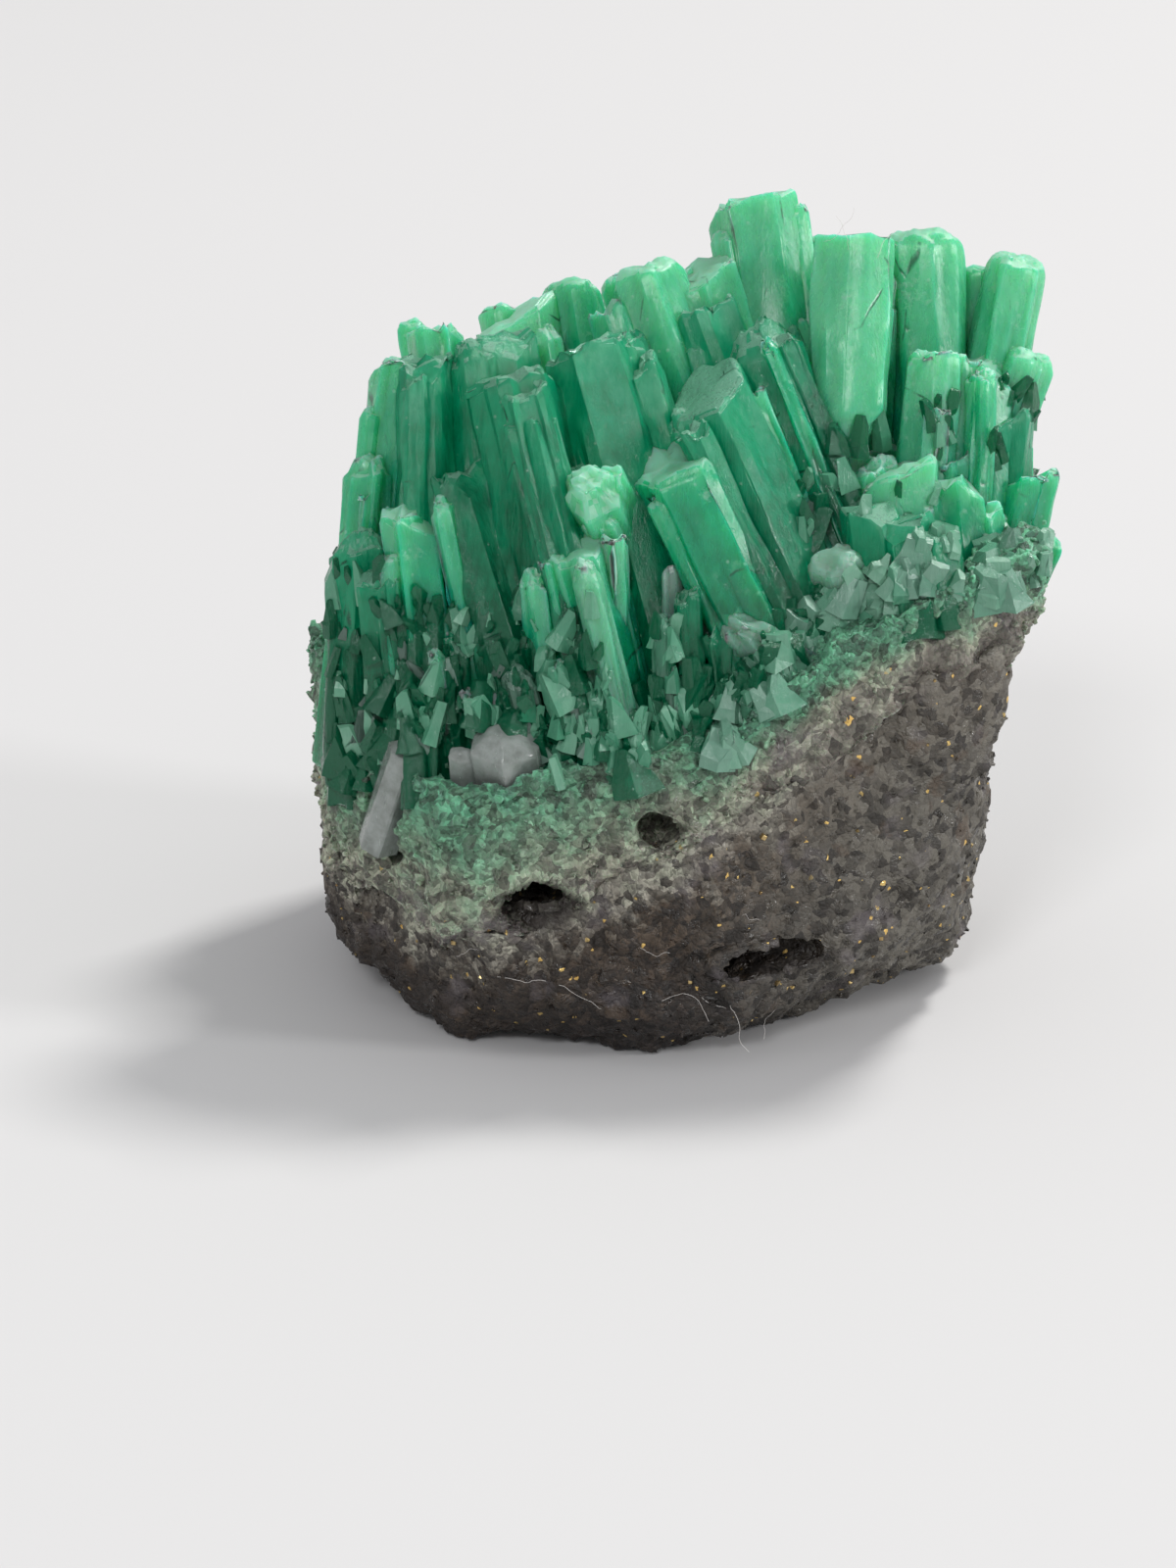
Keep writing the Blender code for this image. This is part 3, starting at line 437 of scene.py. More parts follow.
crystals = {
    # the right-hand group, upright and waxy: tip, low, width, flatness, turn, end, milkiness
    "tower": ((3.5, 42.0, 3.4), (5.2, 31.2, -0.4), 4.4, 0.9, 8, "flat", 0.8),
    "towerStub": ((6.3, 39.9, 5.0), (7.0, 33.0, 3.0), 1.8, 1.0, 0, "flat", 0.5),
    "plate": ((9.4, 39.6, 4.4), (9.8, 30.0, 1.5), 3.6, 0.8, 20, "flat", 0.6),
    "shoulder": ((8.7, 38.7, 0.2), (8.3, 31.0, -1.8), 4.2, 0.8, 5, "flat", 0.8),
    "finger": ((11.7, 40.6, 0.8), (12.0, 27.0, -2.9), 3.6, 1.0, 12, "round", 0.9),
    "ribbedBlock": ((14.4, 38.6, 2.6), (14.4, 28.8, 0.3), 3.6, 0.9, 4, "flat", 0.7),
    "knob": ((16.4, 39.4, 0.5), (14.6, 30.5, -1.8), 3.0, 1.0, 15, "round", 1.0),
    "lowKnob": ((17.1, 34.6, -1.2), (14.6, 28.0, -3.0), 2.7, 1.0, 25, "round", 1.0),
    "rightFront": ((12.4, 34.4, -3.6), (11.6, 22.0, -6.4), 2.9, 0.9, 10, "flat", 0.8),
    "rightFrontTwo": ((14.4, 34.2, -2.6), (13.9, 23.0, -6.0), 3.0, 0.9, 22, "flat", 0.7),
    "rightEdge": ((15.9, 31.8, -3.2), (15.2, 22.0, -5.0), 2.7, 0.9, 0, "slant", 0.4),
    "rightEdgeLow": ((17.1, 28.9, -4.2), (15.3, 22.0, -5.5), 2.6, 1.0, 30, "slant", 0.5),
    "rightRoot": ((17.4, 26.0, -5.4), (15.3, 20.5, -6.2), 2.6, 1.0, 10, "round", 0.5),
    "rightFlare": ((10.6, 29.6, -7.0), (9.9, 20.0, -8.5), 3.4, 0.9, 18, "slant", 0.9),
    "rightFoot": ((13.0, 26.6, -6.6), (12.6, 20.0, -6.4), 2.8, 0.9, 25, "slant", 0.6),
    # the middle group, leaning to the left
    "slopeTop": ((0.7, 39.4, 1.0), (3.6, 30.7, -1.5), 3.3, 0.9, 15, "slant", 0.6),
    "leftPeak": ((-1.9, 38.8, 0.4), (1.0, 30.2, -2.5), 3.7, 0.9, 30, "round", 0.7),
    "leftPeakSide": ((-3.3, 36.6, -0.9), (-1.3, 30.2, -3.5), 2.4, 0.9, 5, "flat", 0.5),
    "frosted": ((1.3, 36.6, -1.0), (4.1, 28.8, -3.5), 3.2, 0.9, 12, "flat", 0.4),
    "diagonalA": ((3.4, 36.0, -3.2), (9.1, 22.1, -8.0), 3.9, 0.9, 25, "point", 0.3),
    "diagonalB": ((0.8, 33.7, -5.6), (7.0, 20.2, -9.6), 4.4, 0.9, 10, "slant", 0.40),
    "diagonalC": ((-1.0, 30.4, -8.2), (4.4, 19.2, -10.8), 4.3, 0.9, 28, "slant", 0.43),
    "deepMiddle": ((-2.6, 28.0, -7.5), (0.2, 20.6, -10.0), 3.4, 0.9, 0, "flat", 0.1),
    "endOn": ((-4.7, 28.4, -11.0), (-2.2, 23.5, -6.5), 2.9, 1.0, 15, "point", 0.7),
    "etchedBlock": ((-5.7, 26.4, -10.6), (-4.0, 20.2, -11.0), 3.6, 0.9, 20, "slant", 0.5),
    # the left-hand group, dark and glassy with frosted ends
    "bigLeftTwo": ((-4.5, 34.8, -4.5), (-1.7, 25.0, -8.0), 4.6, 0.9, 6, "flat", 0.2),
    "lath": ((-2.0, 34.2, -5.0), (0.2, 26.9, -7.5), 2.0, 0.8, 0, "slant", 0.4),
    "bigLeft": ((-8.3, 33.3, -6.5), (-5.6, 22.1, -9.8), 5.0, 0.9, 10, "flat", 0.15),
    "leftBlock": ((-8.8, 35.2, -2.5), (-7.4, 26.9, -5.0), 2.6, 0.9, 0, "flat", 0.3),
    "leftDark": ((-10.5, 34.8, -4.5), (-9.5, 25.9, -7.5), 2.2, 0.9, 20, "point", 0.1),
    "leftPale": ((-12.0, 35.6, -2.0), (-11.2, 27.8, -5.0), 2.7, 0.9, 10, "flat", 0.6),
    "leftBud": ((-13.2, 36.1, 0.0), (-12.4, 31.6, -1.0), 1.3, 1.0, 0, "round", 0.6),
    "leftSecond": ((-12.4, 34.2, -5.0), (-12.4, 23.0, -9.0), 2.6, 0.9, 14, "flat", 0.3),
    "leftFirst": ((-13.9, 34.1, -4.0), (-15.4, 21.1, -6.0), 2.5, 0.9, 0, "flat", 0.5),
    "backMint": ((-8.4, 37.6, 2.5), (-7.2, 30.7, 0.0), 4.7, 0.8, 10, "slant", 0.9),
    "backRound": ((-5.4, 38.0, 3.0), (-4.3, 31.2, 1.0), 2.9, 1.0, 0, "round", 0.6),
    "leftWindow": ((-13.4, 26.8, -8.8), (-12.4, 19.2, -9.8), 3.1, 0.9, 8, "flat", 0.5),
    "sliver": ((-11.8, 27.3, -9.5), (-10.6, 21.1, -10.4), 1.3, 0.7, 0, "point", 0.8),
    "deepLeft": ((-10.6, 28.6, -7.5), (-8.4, 21.1, -10.0), 3.2, 0.9, 25, "flat", 0.1),
    "edgeLongA": ((-15.3, 29.4, -6.0), (-16.5, 17.3, -7.0), 2.4, 0.9, 10, "point", 0.5),
    "edgeLongB": ((-15.8, 25.8, -8.0), (-16.1, 14.9, -8.8), 2.3, 0.9, 25, "point", 0.4),
    "edgeLongC": ((-14.7, 24.4, -9.5), (-13.9, 15.8, -10.4), 2.3, 0.9, 5, "slant", 0.3),
    "edgeLongD": ((-16.2, 23.2, -4.8), (-16.1, 13.9, -5.2), 2.2, 0.9, 15, "point", 0.5),
    # fillers between those, deep in the cluster
    "underLeft": ((-10.8, 28.4, -5.0), (-10.2, 20.0, -7.5), 5.0, 0.9, 12, "flat", 0.0),
    "underMiddle": ((-5.0, 29.0, -6.0), (-4.0, 21.0, -8.5), 5.0, 0.9, 20, "flat", 0.0),
    "underRight": ((3.8, 28.6, -5.0), (4.6, 21.0, -7.5), 5.2, 0.9, 5, "flat", 0.0),
    "underFar": ((12.6, 29.0, -2.5), (12.8, 21.0, -5.5), 5.0, 0.9, 25, "flat", 0.1),
    # the short ones at the foot of the front
    "paleLump": ((-5.8, 19.6, -12.6), (-4.6, 13.9, -12.8), 2.6, 0.9, 12, "round", 1.0),
    "blade": ((-4.7, 24.2, -13.2), (-2.2, 13.9, -13.8), 2.1, 0.6, 20, "point", 0.9),
    "splinterA": ((-1.1, 21.2, -12.6), (-0.7, 15.4, -13.2), 1.3, 0.8, 0, "point", 0.4),
    "splinterB": ((0.2, 22.9, -11.8), (0.6, 16.0, -12.8), 1.4, 0.8, 20, "slant", 0.1),
    "splinterC": ((1.9, 21.2, -11.8), (2.4, 15.4, -12.8), 1.7, 0.8, 10, "point", 0.2),
    "shardA": ((-11.5, 20.6, -10.6), (-10.8, 16.3, -10.6), 1.9, 0.9, 15, "point", 0),
    "shardB": ((-9.4, 22.3, -10.2), (-8.9, 17.2, -10.5), 2.3, 0.9, 0, "slant", 0.2),
    "shardC": ((-7.4, 21.3, -11.0), (-6.7, 15.8, -11.3), 2.0, 0.9, 25, "point", 0),
    "shardD": ((-6.2, 22.8, -11.4), (-5.3, 17.2, -11.8), 1.5, 0.9, 10, "slant", 0.3),
    "shardE": ((-12.8, 18.4, -10.2), (-12.2, 13.4, -10.2), 1.9, 0.9, 5, "point", 0.1),
    "paleSpike": ((-12.2, 19.9, -11.8), (-11.2, 16.4, -11.6), 1.2, 0.7, 0, "point", 0.8),
    "facetShard": ((-9.9, 18.0, -12.8), (-8.6, 15.6, -12.2), 1.7, 0.7, 30, "slant", 0.6),
    "glassShard": ((-8.2, 19.0, -12.8), (-7.2, 15.6, -12.6), 1.7, 0.8, 10, "point", 0.3),
    "etchedShard": ((-7.2, 24.0, -11.6), (-6.5, 19.0, -11.6), 1.8, 0.8, 0, "point", 0.8),
    "middleShard": ((-3.3, 25.4, -11.4), (-3.0, 19.0, -11.6), 1.3, 0.8, 0, "flat", 0.8),
    "lilacFlake": ((-0.4, 24.2, -10.8), (-0.2, 19.5, -11.4), 1.1, 0.4, 0, "point", 0.9),
}
lying = {
    "tongue": ((8.0, 29.6, -6.0), (8.4, 38.6, -2.2), 4.2, 0.7, 4, "point", 1.0),
    "paleLens": ((2.4, 24.2, -11.0), (6.0, 21.6, -9.6), 1.7, 0.7, 10, "point", 0.7),
    "greyLens": ((2.4, 21.3, -12.4), (7.4, 18.8, -10.6), 2.7, 0.7, 0, "point", 0.6),
    "lowLens": ((3.1, 18.7, -13.2), (6.6, 16.4, -11.6), 1.6, 0.7, 20, "point", 0.6),
    "greyHump": ((7.4, 24.6, -10.8), (9.6, 20.2, -8.8), 2.9, 0.8, 15, "round", 0.8),
}
lyingReach = 1.5

packing = {
    "step": 5.0,
    "width": 6.0,
    "jitter": 1.1,
    "inset": 1.6,
    "wall": 0.9,
    "ridge": ((-17, 25), (-14, 28.5), (-8, 32), (-3, 33), (3, 35.5), (9, 35), (15, 34), (18, 31)),
    "fall": ((-13, -18), (-8, -13), (-4, -8), (0, -4.5), (4, -3), (8, -4.5), (14, -11)),
    "leanAcross": ((-17, 0.18), (-12, 0.04), (-6, -0.2), (3, -0.35), (8, -0.2), (17, 0.03)),
    "leanBack": ((-12, 0.4), (0, 0.15), (6, 0.2), (13, 0.4)),
    "sides": (
        ((-17.1, 0, 8), (-1, -0.08, 0.0)),
        ((-14.2, -9.6, 6), (-0.78, -0.6, -0.05)),
        ((-4, -15.2, 4), (0, -1, 0.06)),
        ((8, -13.4, 5), (0.27, -0.96, 0.03)),
        ((14.8, -2, 10), (0.985, -0.1, -0.12)),
        ((12.2, 8.8, 8), (0.75, 0.66, 0)),
        ((0, 14.0, 6), (0.05, 1, 0.08)),
        ((-13.6, 9.6, 6), (-0.72, 0.7, 0)),
    ),
}

crystalShape = {
    "ends": {  # rings as (drawn in, rise), then the slope across
        "flat": (((0.90, 0.10),), 0.05),
        "slant": (((0.88, 0.12),), 0.45),
        "point": (((0.45, 0.55),), 0.20),
        "round": (((0.90, 0.26), (0.66, 0.26)), 0.0),
    },
    "rooted": 1.5,  # how deep its foot is in the crust
    "stages": (0.35, 0.6, 0.8, 1.0),  # where the shaft steps in or out, as shares of its length
    "step": 0.09,
    "chipLean": 0.9,
    "uneven": 0.28,
    "taper": 0.96,
    "bevel": 0.07,
    "thinBelow": 1.2,
    "ribs": 0.44,
    "lumps": 0.42,
    "fineRelief": 0.17,
    "etching": 0.95,
    "etchedReach": 0.9,
}
companions = {
    "from": 2.3,
    "slimness": (0.36, 0.62),
    "endings": ("flat", "slant", "point", "flat"),
    "front": {"count": 3, "main": 1.0, "share": 0.8, "offset": 0.50, "sunk": 0.30, "lower": (0.3, 2.8)},
    "packed": {"count": 6, "main": 0.62, "share": 0.9, "offset": 0.36, "sunk": 0.0, "lower": (0.1, 2.2)},
}


def packedCrystal(x, y):
    away = Vector([noise.noise(Vector((x * 0.7, y * 0.7, 7.3 * axis))) for axis in range(3)])
    away *= packing["jitter"] * 2
    width = packing["width"] * (0.9 + 0.15 * away.x)
    foot = Vector((x + away.x, y + away.y, heightOf(crown, x, y)))
    for point, outward in packing["sides"]:
        outward = Vector(outward).normalized()
        over = outward.dot(foot - Vector(point)) + width * 0.54 + packing["wall"]
        foot -= Vector((outward.x, outward.y, 0)) * max(0.0, over)
    up = along(packing["ridge"], x) + along(packing["fall"], y) + away.z * 1.3
    lean = Vector((along(packing["leanAcross"], x), along(packing["leanBack"], y), 1))
    lean += Vector((away.y, away.x, 0)) * 0.06
    tip = foot + lean * max(up - foot.z, 2.0)
    kind = ("flat", "slant", "flat", "point")[int(abs(away.x * 97)) % 4]
    return tip, tip - lean, width, 0.9, away.y * 90, kind, 0.45 + 0.5 * away.z


def insideLump(x, y):
    here = Vector((x, y, heightOf(crown, x, y)))
    for point, outward in packing["sides"]:
        if Vector(outward).normalized().dot(here - Vector(point)) > -packing["inset"]:
            return False
    return True


def allCrystals():
    for name, (tip, low, *rest) in crystals.items():
        yield name, placeAt(*tip), placeAt(*low), *rest, None
    for name, (tip, low, *rest) in lying.items():
        tip, low = placeAt(*tip), placeAt(*low)
        yield name, tip, low, *rest, (tip - low).length + lyingReach
    for row in range(-2, 4):
        for spot in range(-5, 6):
            x = (spot + (row % 2) / 2) * packing["step"]
            y = row * packing["step"] * 0.87
            if insideLump(x, y):
                yield f"pack_{row}_{spot}", *packedCrystal(x, y), None


greyOnes = {
    "lilacFlake": 1.0, "greyLens": 0.75, "lowLens": 0.6, "greyHump": 0.7, "blade": 0.45,
    "facetShard": 0.7, "glassShard": 0.5, "paleSpike": 0.4, "splinterA": 0.5, "paleLens": 0.3,
}
glassyBelow = 0.42  # crystals less milky than this are glassy


def withCompanions():
    # smaller crystals that grew along the sides of the wide ones
    for name, tip, low, width, flatness, turn, kind, milk, length in allCrystals():
        facts = companions["packed" if name.startswith("pack") else "front"]
        yield name, tip, low, width * facts["main"], flatness, turn, kind, milk, length
        if width < companions["from"] or kind == "round" or name in lying:
            continue
        axis = (tip - low).normalized()
        sideways = axis.orthogonal().normalized()
        for number in range(facts["count"]):
            chance = [noise.noise(tip * 1.7 + Vector((number * 3.1, part * 5.3, 0))) + 0.5 for part in range(3)]
            chance = [min(max(value, 0.0), 1.0) for value in chance]
            around = Matrix.Rotation((number + chance[0]) * math.tau / facts["count"], 3, axis)
            sideWidth = width * pick(companions["slimness"], chance[1]) * facts["share"]
            reach = width * facts["offset"] - sideWidth * facts["sunk"]
            top = tip + around @ sideways * reach - axis * pick(facts["lower"], chance[2])
            ending = companions["endings"][(number + len(name)) % 4]
            paler = min(1.0, max(0.0, milk + 0.3 * chance[0] - 0.15))
            turned = turn + 20 * number
            yield f"{name}_side{number}", top, top - axis, sideWidth, 0.95, turned, ending, paler, length


def growCrystal(name, tip, low, width, flatness, turn, kind, milk, length, guide, reliefs):
    shape = crystalShape
    axis = (tip - low).normalized()
    if length is None:
        length = 2.5
        foot = tip - axis * length
        while foot.z > heightOf(crown, foot.x, foot.y) - shape["rooted"] - width * 0.3:
            length += 0.25
            foot = tip - axis * length
    radius = width * 0.54
    rings, slope = shape["ends"][kind]
    shaft = length - sum(rise for drawnIn, rise in rings) * width / 2
    first = shaft * shape["stages"][0]
    bpy.ops.mesh.primitive_cylinder_add(
        vertices=6, radius=radius * mm, depth=first * mm, location=(0, 0, first * mm / 2)
    )
    made = bpy.context.object
    made.name = name
    for owner in made.users_collection:
        owner.objects.unlink(made)
    bpy.context.scene.collection.objects.link(made)
    bpy.context.view_layer.objects.active = made
    made.data.transform(made.matrix_world)
    made.matrix_world = Matrix.Identity(4)
    for vertex in made.data.vertices:
        side = math.floor(math.atan2(vertex.co.y, vertex.co.x) / math.radians(60) + 0.25)
        push = noise.noise(Vector((side % 6 * 1.3, tip.x * 2.1, tip.y * 1.7)))
        wide = 1 + shape["uneven"] * push
        if vertex.co.z < first * mm / 2:
            wide *= shape["taper"]
        vertex.co.x *= wide
        vertex.co.y *= wide
    selectFaces(made, lambda face: face.normal.z > 0.9)
    for number, (start, end) in enumerate(zip(shape["stages"], shape["stages"][1:])):
        bpy.ops.mesh.extrude_region_move(
            TRANSFORM_OT_translate={"value": (0, 0, (end - start) * shaft * mm)}
        )
        wide = 1 + shape["step"] * noise.noise(tip * 2.3 + Vector((0, 0, number * 4.1)))
        bpy.ops.transform.resize(value=(wide, wide, 1), center_override=(0, 0, 0))
    for drawnIn, rise in rings:
        bpy.ops.mesh.extrude_region_move(
            TRANSFORM_OT_translate={"value": (0, 0, rise * width / 2 * mm)}
        )
        bpy.ops.transform.resize(value=(drawnIn, drawnIn, 1), center_override=(0, 0, 0))
    bpy.ops.object.mode_set(mode="OBJECT")
    for vertex in made.data.vertices:
        share = min(1.0, max(0.0, vertex.co.z / (shaft * mm) * 2 - 1))
        vertex.co.z -= slope * share * (vertex.co.x + radius * mm)
    top = max(vertex.co.z for vertex in made.data.vertices)
    if kind in ("flat", "slant"):  # a corner is broken off
        around = noise.noise(tip * 1.9) * 9
        inward = 0.25 + 0.6 * abs(noise.noise(tip * 3.1))
        outward = Vector((math.cos(around), math.sin(around), shape["chipLean"]))
        corner = Vector((outward.x * radius * inward * mm, outward.y * radius * inward * mm, top))
        editAll()
        bpy.ops.mesh.bisect(
            plane_co=corner, plane_no=outward, clear_outer=True, use_fill=True, threshold=0.000001
        )
        bpy.ops.mesh.select_all(action="SELECT")
        bpy.ops.mesh.remove_doubles(threshold=0.00001)
        bpy.ops.object.mode_set(mode="OBJECT")
    made.data.validate()
    for vertex in made.data.vertices:
        vertex.co.y *= flatness
    # worn edges and even faces, then the end is etched and the sides get ribs, lumps and fine relief
    bevel = made.modifiers.new("edges", "BEVEL")
    bevel.width = (0.16 if kind == "round" else shape["bevel"]) * mm
    bevel.segments = 1
    bevel.limit_method = "ANGLE"
    bevel.angle_limit = math.radians(22)
    finer = made.modifiers.new("finer", "SUBSURF")
    finer.subdivision_type = "CATMULL_CLARK" if kind == "round" else "SIMPLE"
    behind = name.startswith("pack")
    finer.levels = finer.render_levels = 1 if behind and "side" in name or width < shape["thinBelow"] else 2
    applyAll(made)
    high = max(vertex.co.z for vertex in made.data.vertices)
    end = made.vertex_groups.new(name="end")
    for vertex in made.data.vertices:
        end.add([vertex.index], max(0.0, 1 - (high - vertex.co.z) / (shape["etchedReach"] * mm)), "REPLACE")
    ribs, lumps, fine, etching = reliefs
    guide.location = tip * mm * 7
    bpy.context.view_layer.update()
    if kind != "round":
        addDisplace(made, etching, -shape["etching"] * (1.1 - 0.6 * milk), 0.25)
        etched = made.modifiers[-1]
        etched.direction = "Z"
        etched.vertex_group = "end"
        etched.texture_coords = "OBJECT"
        etched.texture_coords_object = guide
    addDisplace(made, ribs, shape["ribs"] * (1.15 - 0.6 * milk), guide=guide)
    addDisplace(made, lumps, shape["lumps"] * (0.5 + 0.7 * milk), guide=guide)
    addDisplace(made, fine, shape["fineRelief"], guide=guide)
    applyAll(made)
    made.vertex_groups.clear()
    upright = name != "tongue"
    # rise is the height share along each crystal; the emerald material paints shade with it, darkest at the
    # roots
    heights = [vertex.co.z / high for vertex in made.data.vertices]
    giveAttribute(made, "rise", [max(0.001, height) if upright else 1 - 0.2 * height for height in heights])
    caps = [float(face.normal.z > 0.5 and upright) for face in made.data.polygons]
    giveAttribute(made, "cap", caps, "FACE")
    tone = noise.noise(tip * 3.7) * 0.5 + 0.5
    for label, value in (("milk", milk), ("grey", greyOnes.get(name, 0.0)), ("tone", tone)):
        giveAttribute(made, label, [value] * len(caps), "FACE")
    foot = tip - axis * length
    stand = axis.to_track_quat("Z", "Y").to_matrix().to_4x4()
    spin = Matrix.Rotation(math.radians(turn), 4, "Z")
    put = Matrix.Translation((foot + centring) * mm) @ stand @ spin
    made.data.transform(put)
    return made


def unitedAll(items):
    # pairs are united until one clear body is left, with no walls inside it
    while len(items) > 1:
        left = []
        for first, second in zip(items[::2], items[1::2]):
            for item in (first, second):
                bpy.context.scene.collection.objects.link(item)
            union = first.modifiers.new("grownTogether", "BOOLEAN")
            union.operation = "UNION"
            union.solver = "MANIFOLD"
            union.object = second
            applyAll(first)
            bpy.data.objects.remove(second)
            bpy.context.scene.collection.objects.unlink(first)
            left.append(first)
        items = left + items[len(left) * 2:]
    bpy.context.scene.collection.objects.link(items[0])
    return items[0]


def growEmeralds(waxy, glassy):
    bpy.ops.object.empty_add()
    guide = bpy.context.object  # its stretched space turns the noise into long ribs
    guide.scale = (1, 1, 9)
    reliefs = (
        clouds("ribs", 0.9 * mm, depth=2, contrast=2.2),
        clouds("lumps", 1.7 * mm, depth=1),
        clouds("fineRelief", 0.35 * mm, "VORONOI_F1", 1),
        clouds("etching", 0.8 * mm, "VORONOI_F2_F1", 2, 1.6),
    )
    groups = {}
    for name, *facts in withCompanions():
        selectOnly()
        made = growCrystal(name, *facts, guide, reliefs)
        made.data.materials.append(waxy)
        made.data.materials.append(glassy)
        glassyOne = int(facts[6] < glassyBelow)
        made.data.polygons.foreach_set("material_index", [glassyOne] * len(made.data.polygons))
        side = "back" if name.startswith("pack") else "left" if facts[0].x < -3.5 else "right"
        groups.setdefault(side, []).append(made)
        bpy.context.scene.collection.objects.unlink(made)  # the fewer there are, the quicker the next one
    clusters = []
    for side, grown in groups.items():
        cluster = unitedAll(grown)
        cluster.name = f"emeralds_{side}"
        fillRise(cluster)
        shadeHollowFoot(cluster)
        finishPiece(cluster, "emerald", None, "emerald_cluster", smooth=32)
        clusters.append(cluster)
    bpy.data.objects.remove(guide)
    return clusters


waxyEmerald = emeraldMaterial("emeraldWaxy")
glassyEmerald = emeraldMaterial("emeraldGlassy")
emeralds = growEmeralds(waxyEmerald, glassyEmerald)
print("emeralds grown")


# the crust and the rock under it
def stoneBody(node, name, shape, basis="VORONOI_F2_F1"):
    # the CAD body with an even skin and real relief
    made = linked(name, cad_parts[node].data.copy())
    selectOnly(made)
    editAll()
    bpy.ops.mesh.remove_doubles(threshold=0.000001)
    bpy.ops.object.mode_set(mode="OBJECT")
    skin = made.modifiers.new("evenSkin", "REMESH")
    skin.mode = "VOXEL"
    skin.voxel_size = shape["voxel"] * mm
    applyAll(made)
    soft = made.modifiers.new("soften", "SMOOTH")
    soft.factor = 0.5
    soft.iterations = 6
    if "grow" in shape:
        close = made.modifiers.new("close", "DISPLACE")
        close.strength = shape["grow"] * mm
        close.mid_level = 0
    for size, strength in shape["rough"]:
        addDisplace(made, clouds(f"{name}_{size}", size * mm, basis, 1), strength, shape["middle"])
    applyAll(made)
    return made


def outwardAt(point):
    return Vector((point.x, point.y, 0)).normalized()


greening = {"within": 3.6, "from": -3, "over": 7, "raise": 6.0}


def levelAttribute(item):
    # how far each point is above the seam, in millimetres, and greener close under the crystals
    values = []
    for vertex in item.data.vertices:
        x, y, z = designPlace(vertex.co)
        near = easy((z - heightOf(crown, x, y) + greening["within"]) / greening["within"])
        near *= easy((x - greening["from"]) / greening["over"])
        values.append(z - heightOf(seam, x, y) + greening["raise"] * near)
    giveAttribute(item, "level", values)


# painted shade: each pit is blackened, over its reach and by its own strength
pits = {  # (across, up, back), how far they reach and how dark they are
    "cavity": ((-6.9, 7.6, -14.6), (1.7, 1.2, 4.2), 1.0),
    "pocket": ((-1.0, 11.1, -14.6), (0.9, 0.7, 1.8), 0.55),
    "smallPit": ((-15.5, 6.7, -12.6), (0.7, 0.6, 1.6), 1.0),
    "crevice": ((3.0, 5.0, -13.8), (3.8, 0.55, 1.8), 0.8),
}


def pitShadeAttribute(item):
    # how deep in a pit each point is, for the painted shade that blackens the pits
    centres = [(placeAt(*centre), reach, pitShadeStrength) for centre, reach, pitShadeStrength in pits.values()]
    values = []
    for vertex in item.data.vertices:
        here = designPlace(vertex.co)
        depth = 0.0
        for centre, reach, pitShadeStrength in centres:
            away = Vector([(here - centre)[axis] / reach[(0, 2, 1)[axis]] for axis in range(3)])
            depth = max(depth, pitShadeStrength * min(1.0, (1.28 - away.length) / 0.25))
        values.append(max(0.0, depth))
    giveAttribute(item, "dark", values)


stoneLook = {
    "black": (0.018, 0.012, 0.009, 1),
    "brown": (0.052, 0.037, 0.025, 1),
    "grey": (0.180, 0.168, 0.140, 1),
    "pale": (0.25, 0.265, 0.20, 1),
    "greenish": (0.14, 0.235, 0.155, 1),
    "deepGreen": (0.08, 0.24, 0.145, 1),
    "lilac": (0.15, 0.13, 0.14, 1),
    "rust": (0.10, 0.068, 0.045, 1),
    "gold": (0.80, 0.58, 0.22, 1),
}


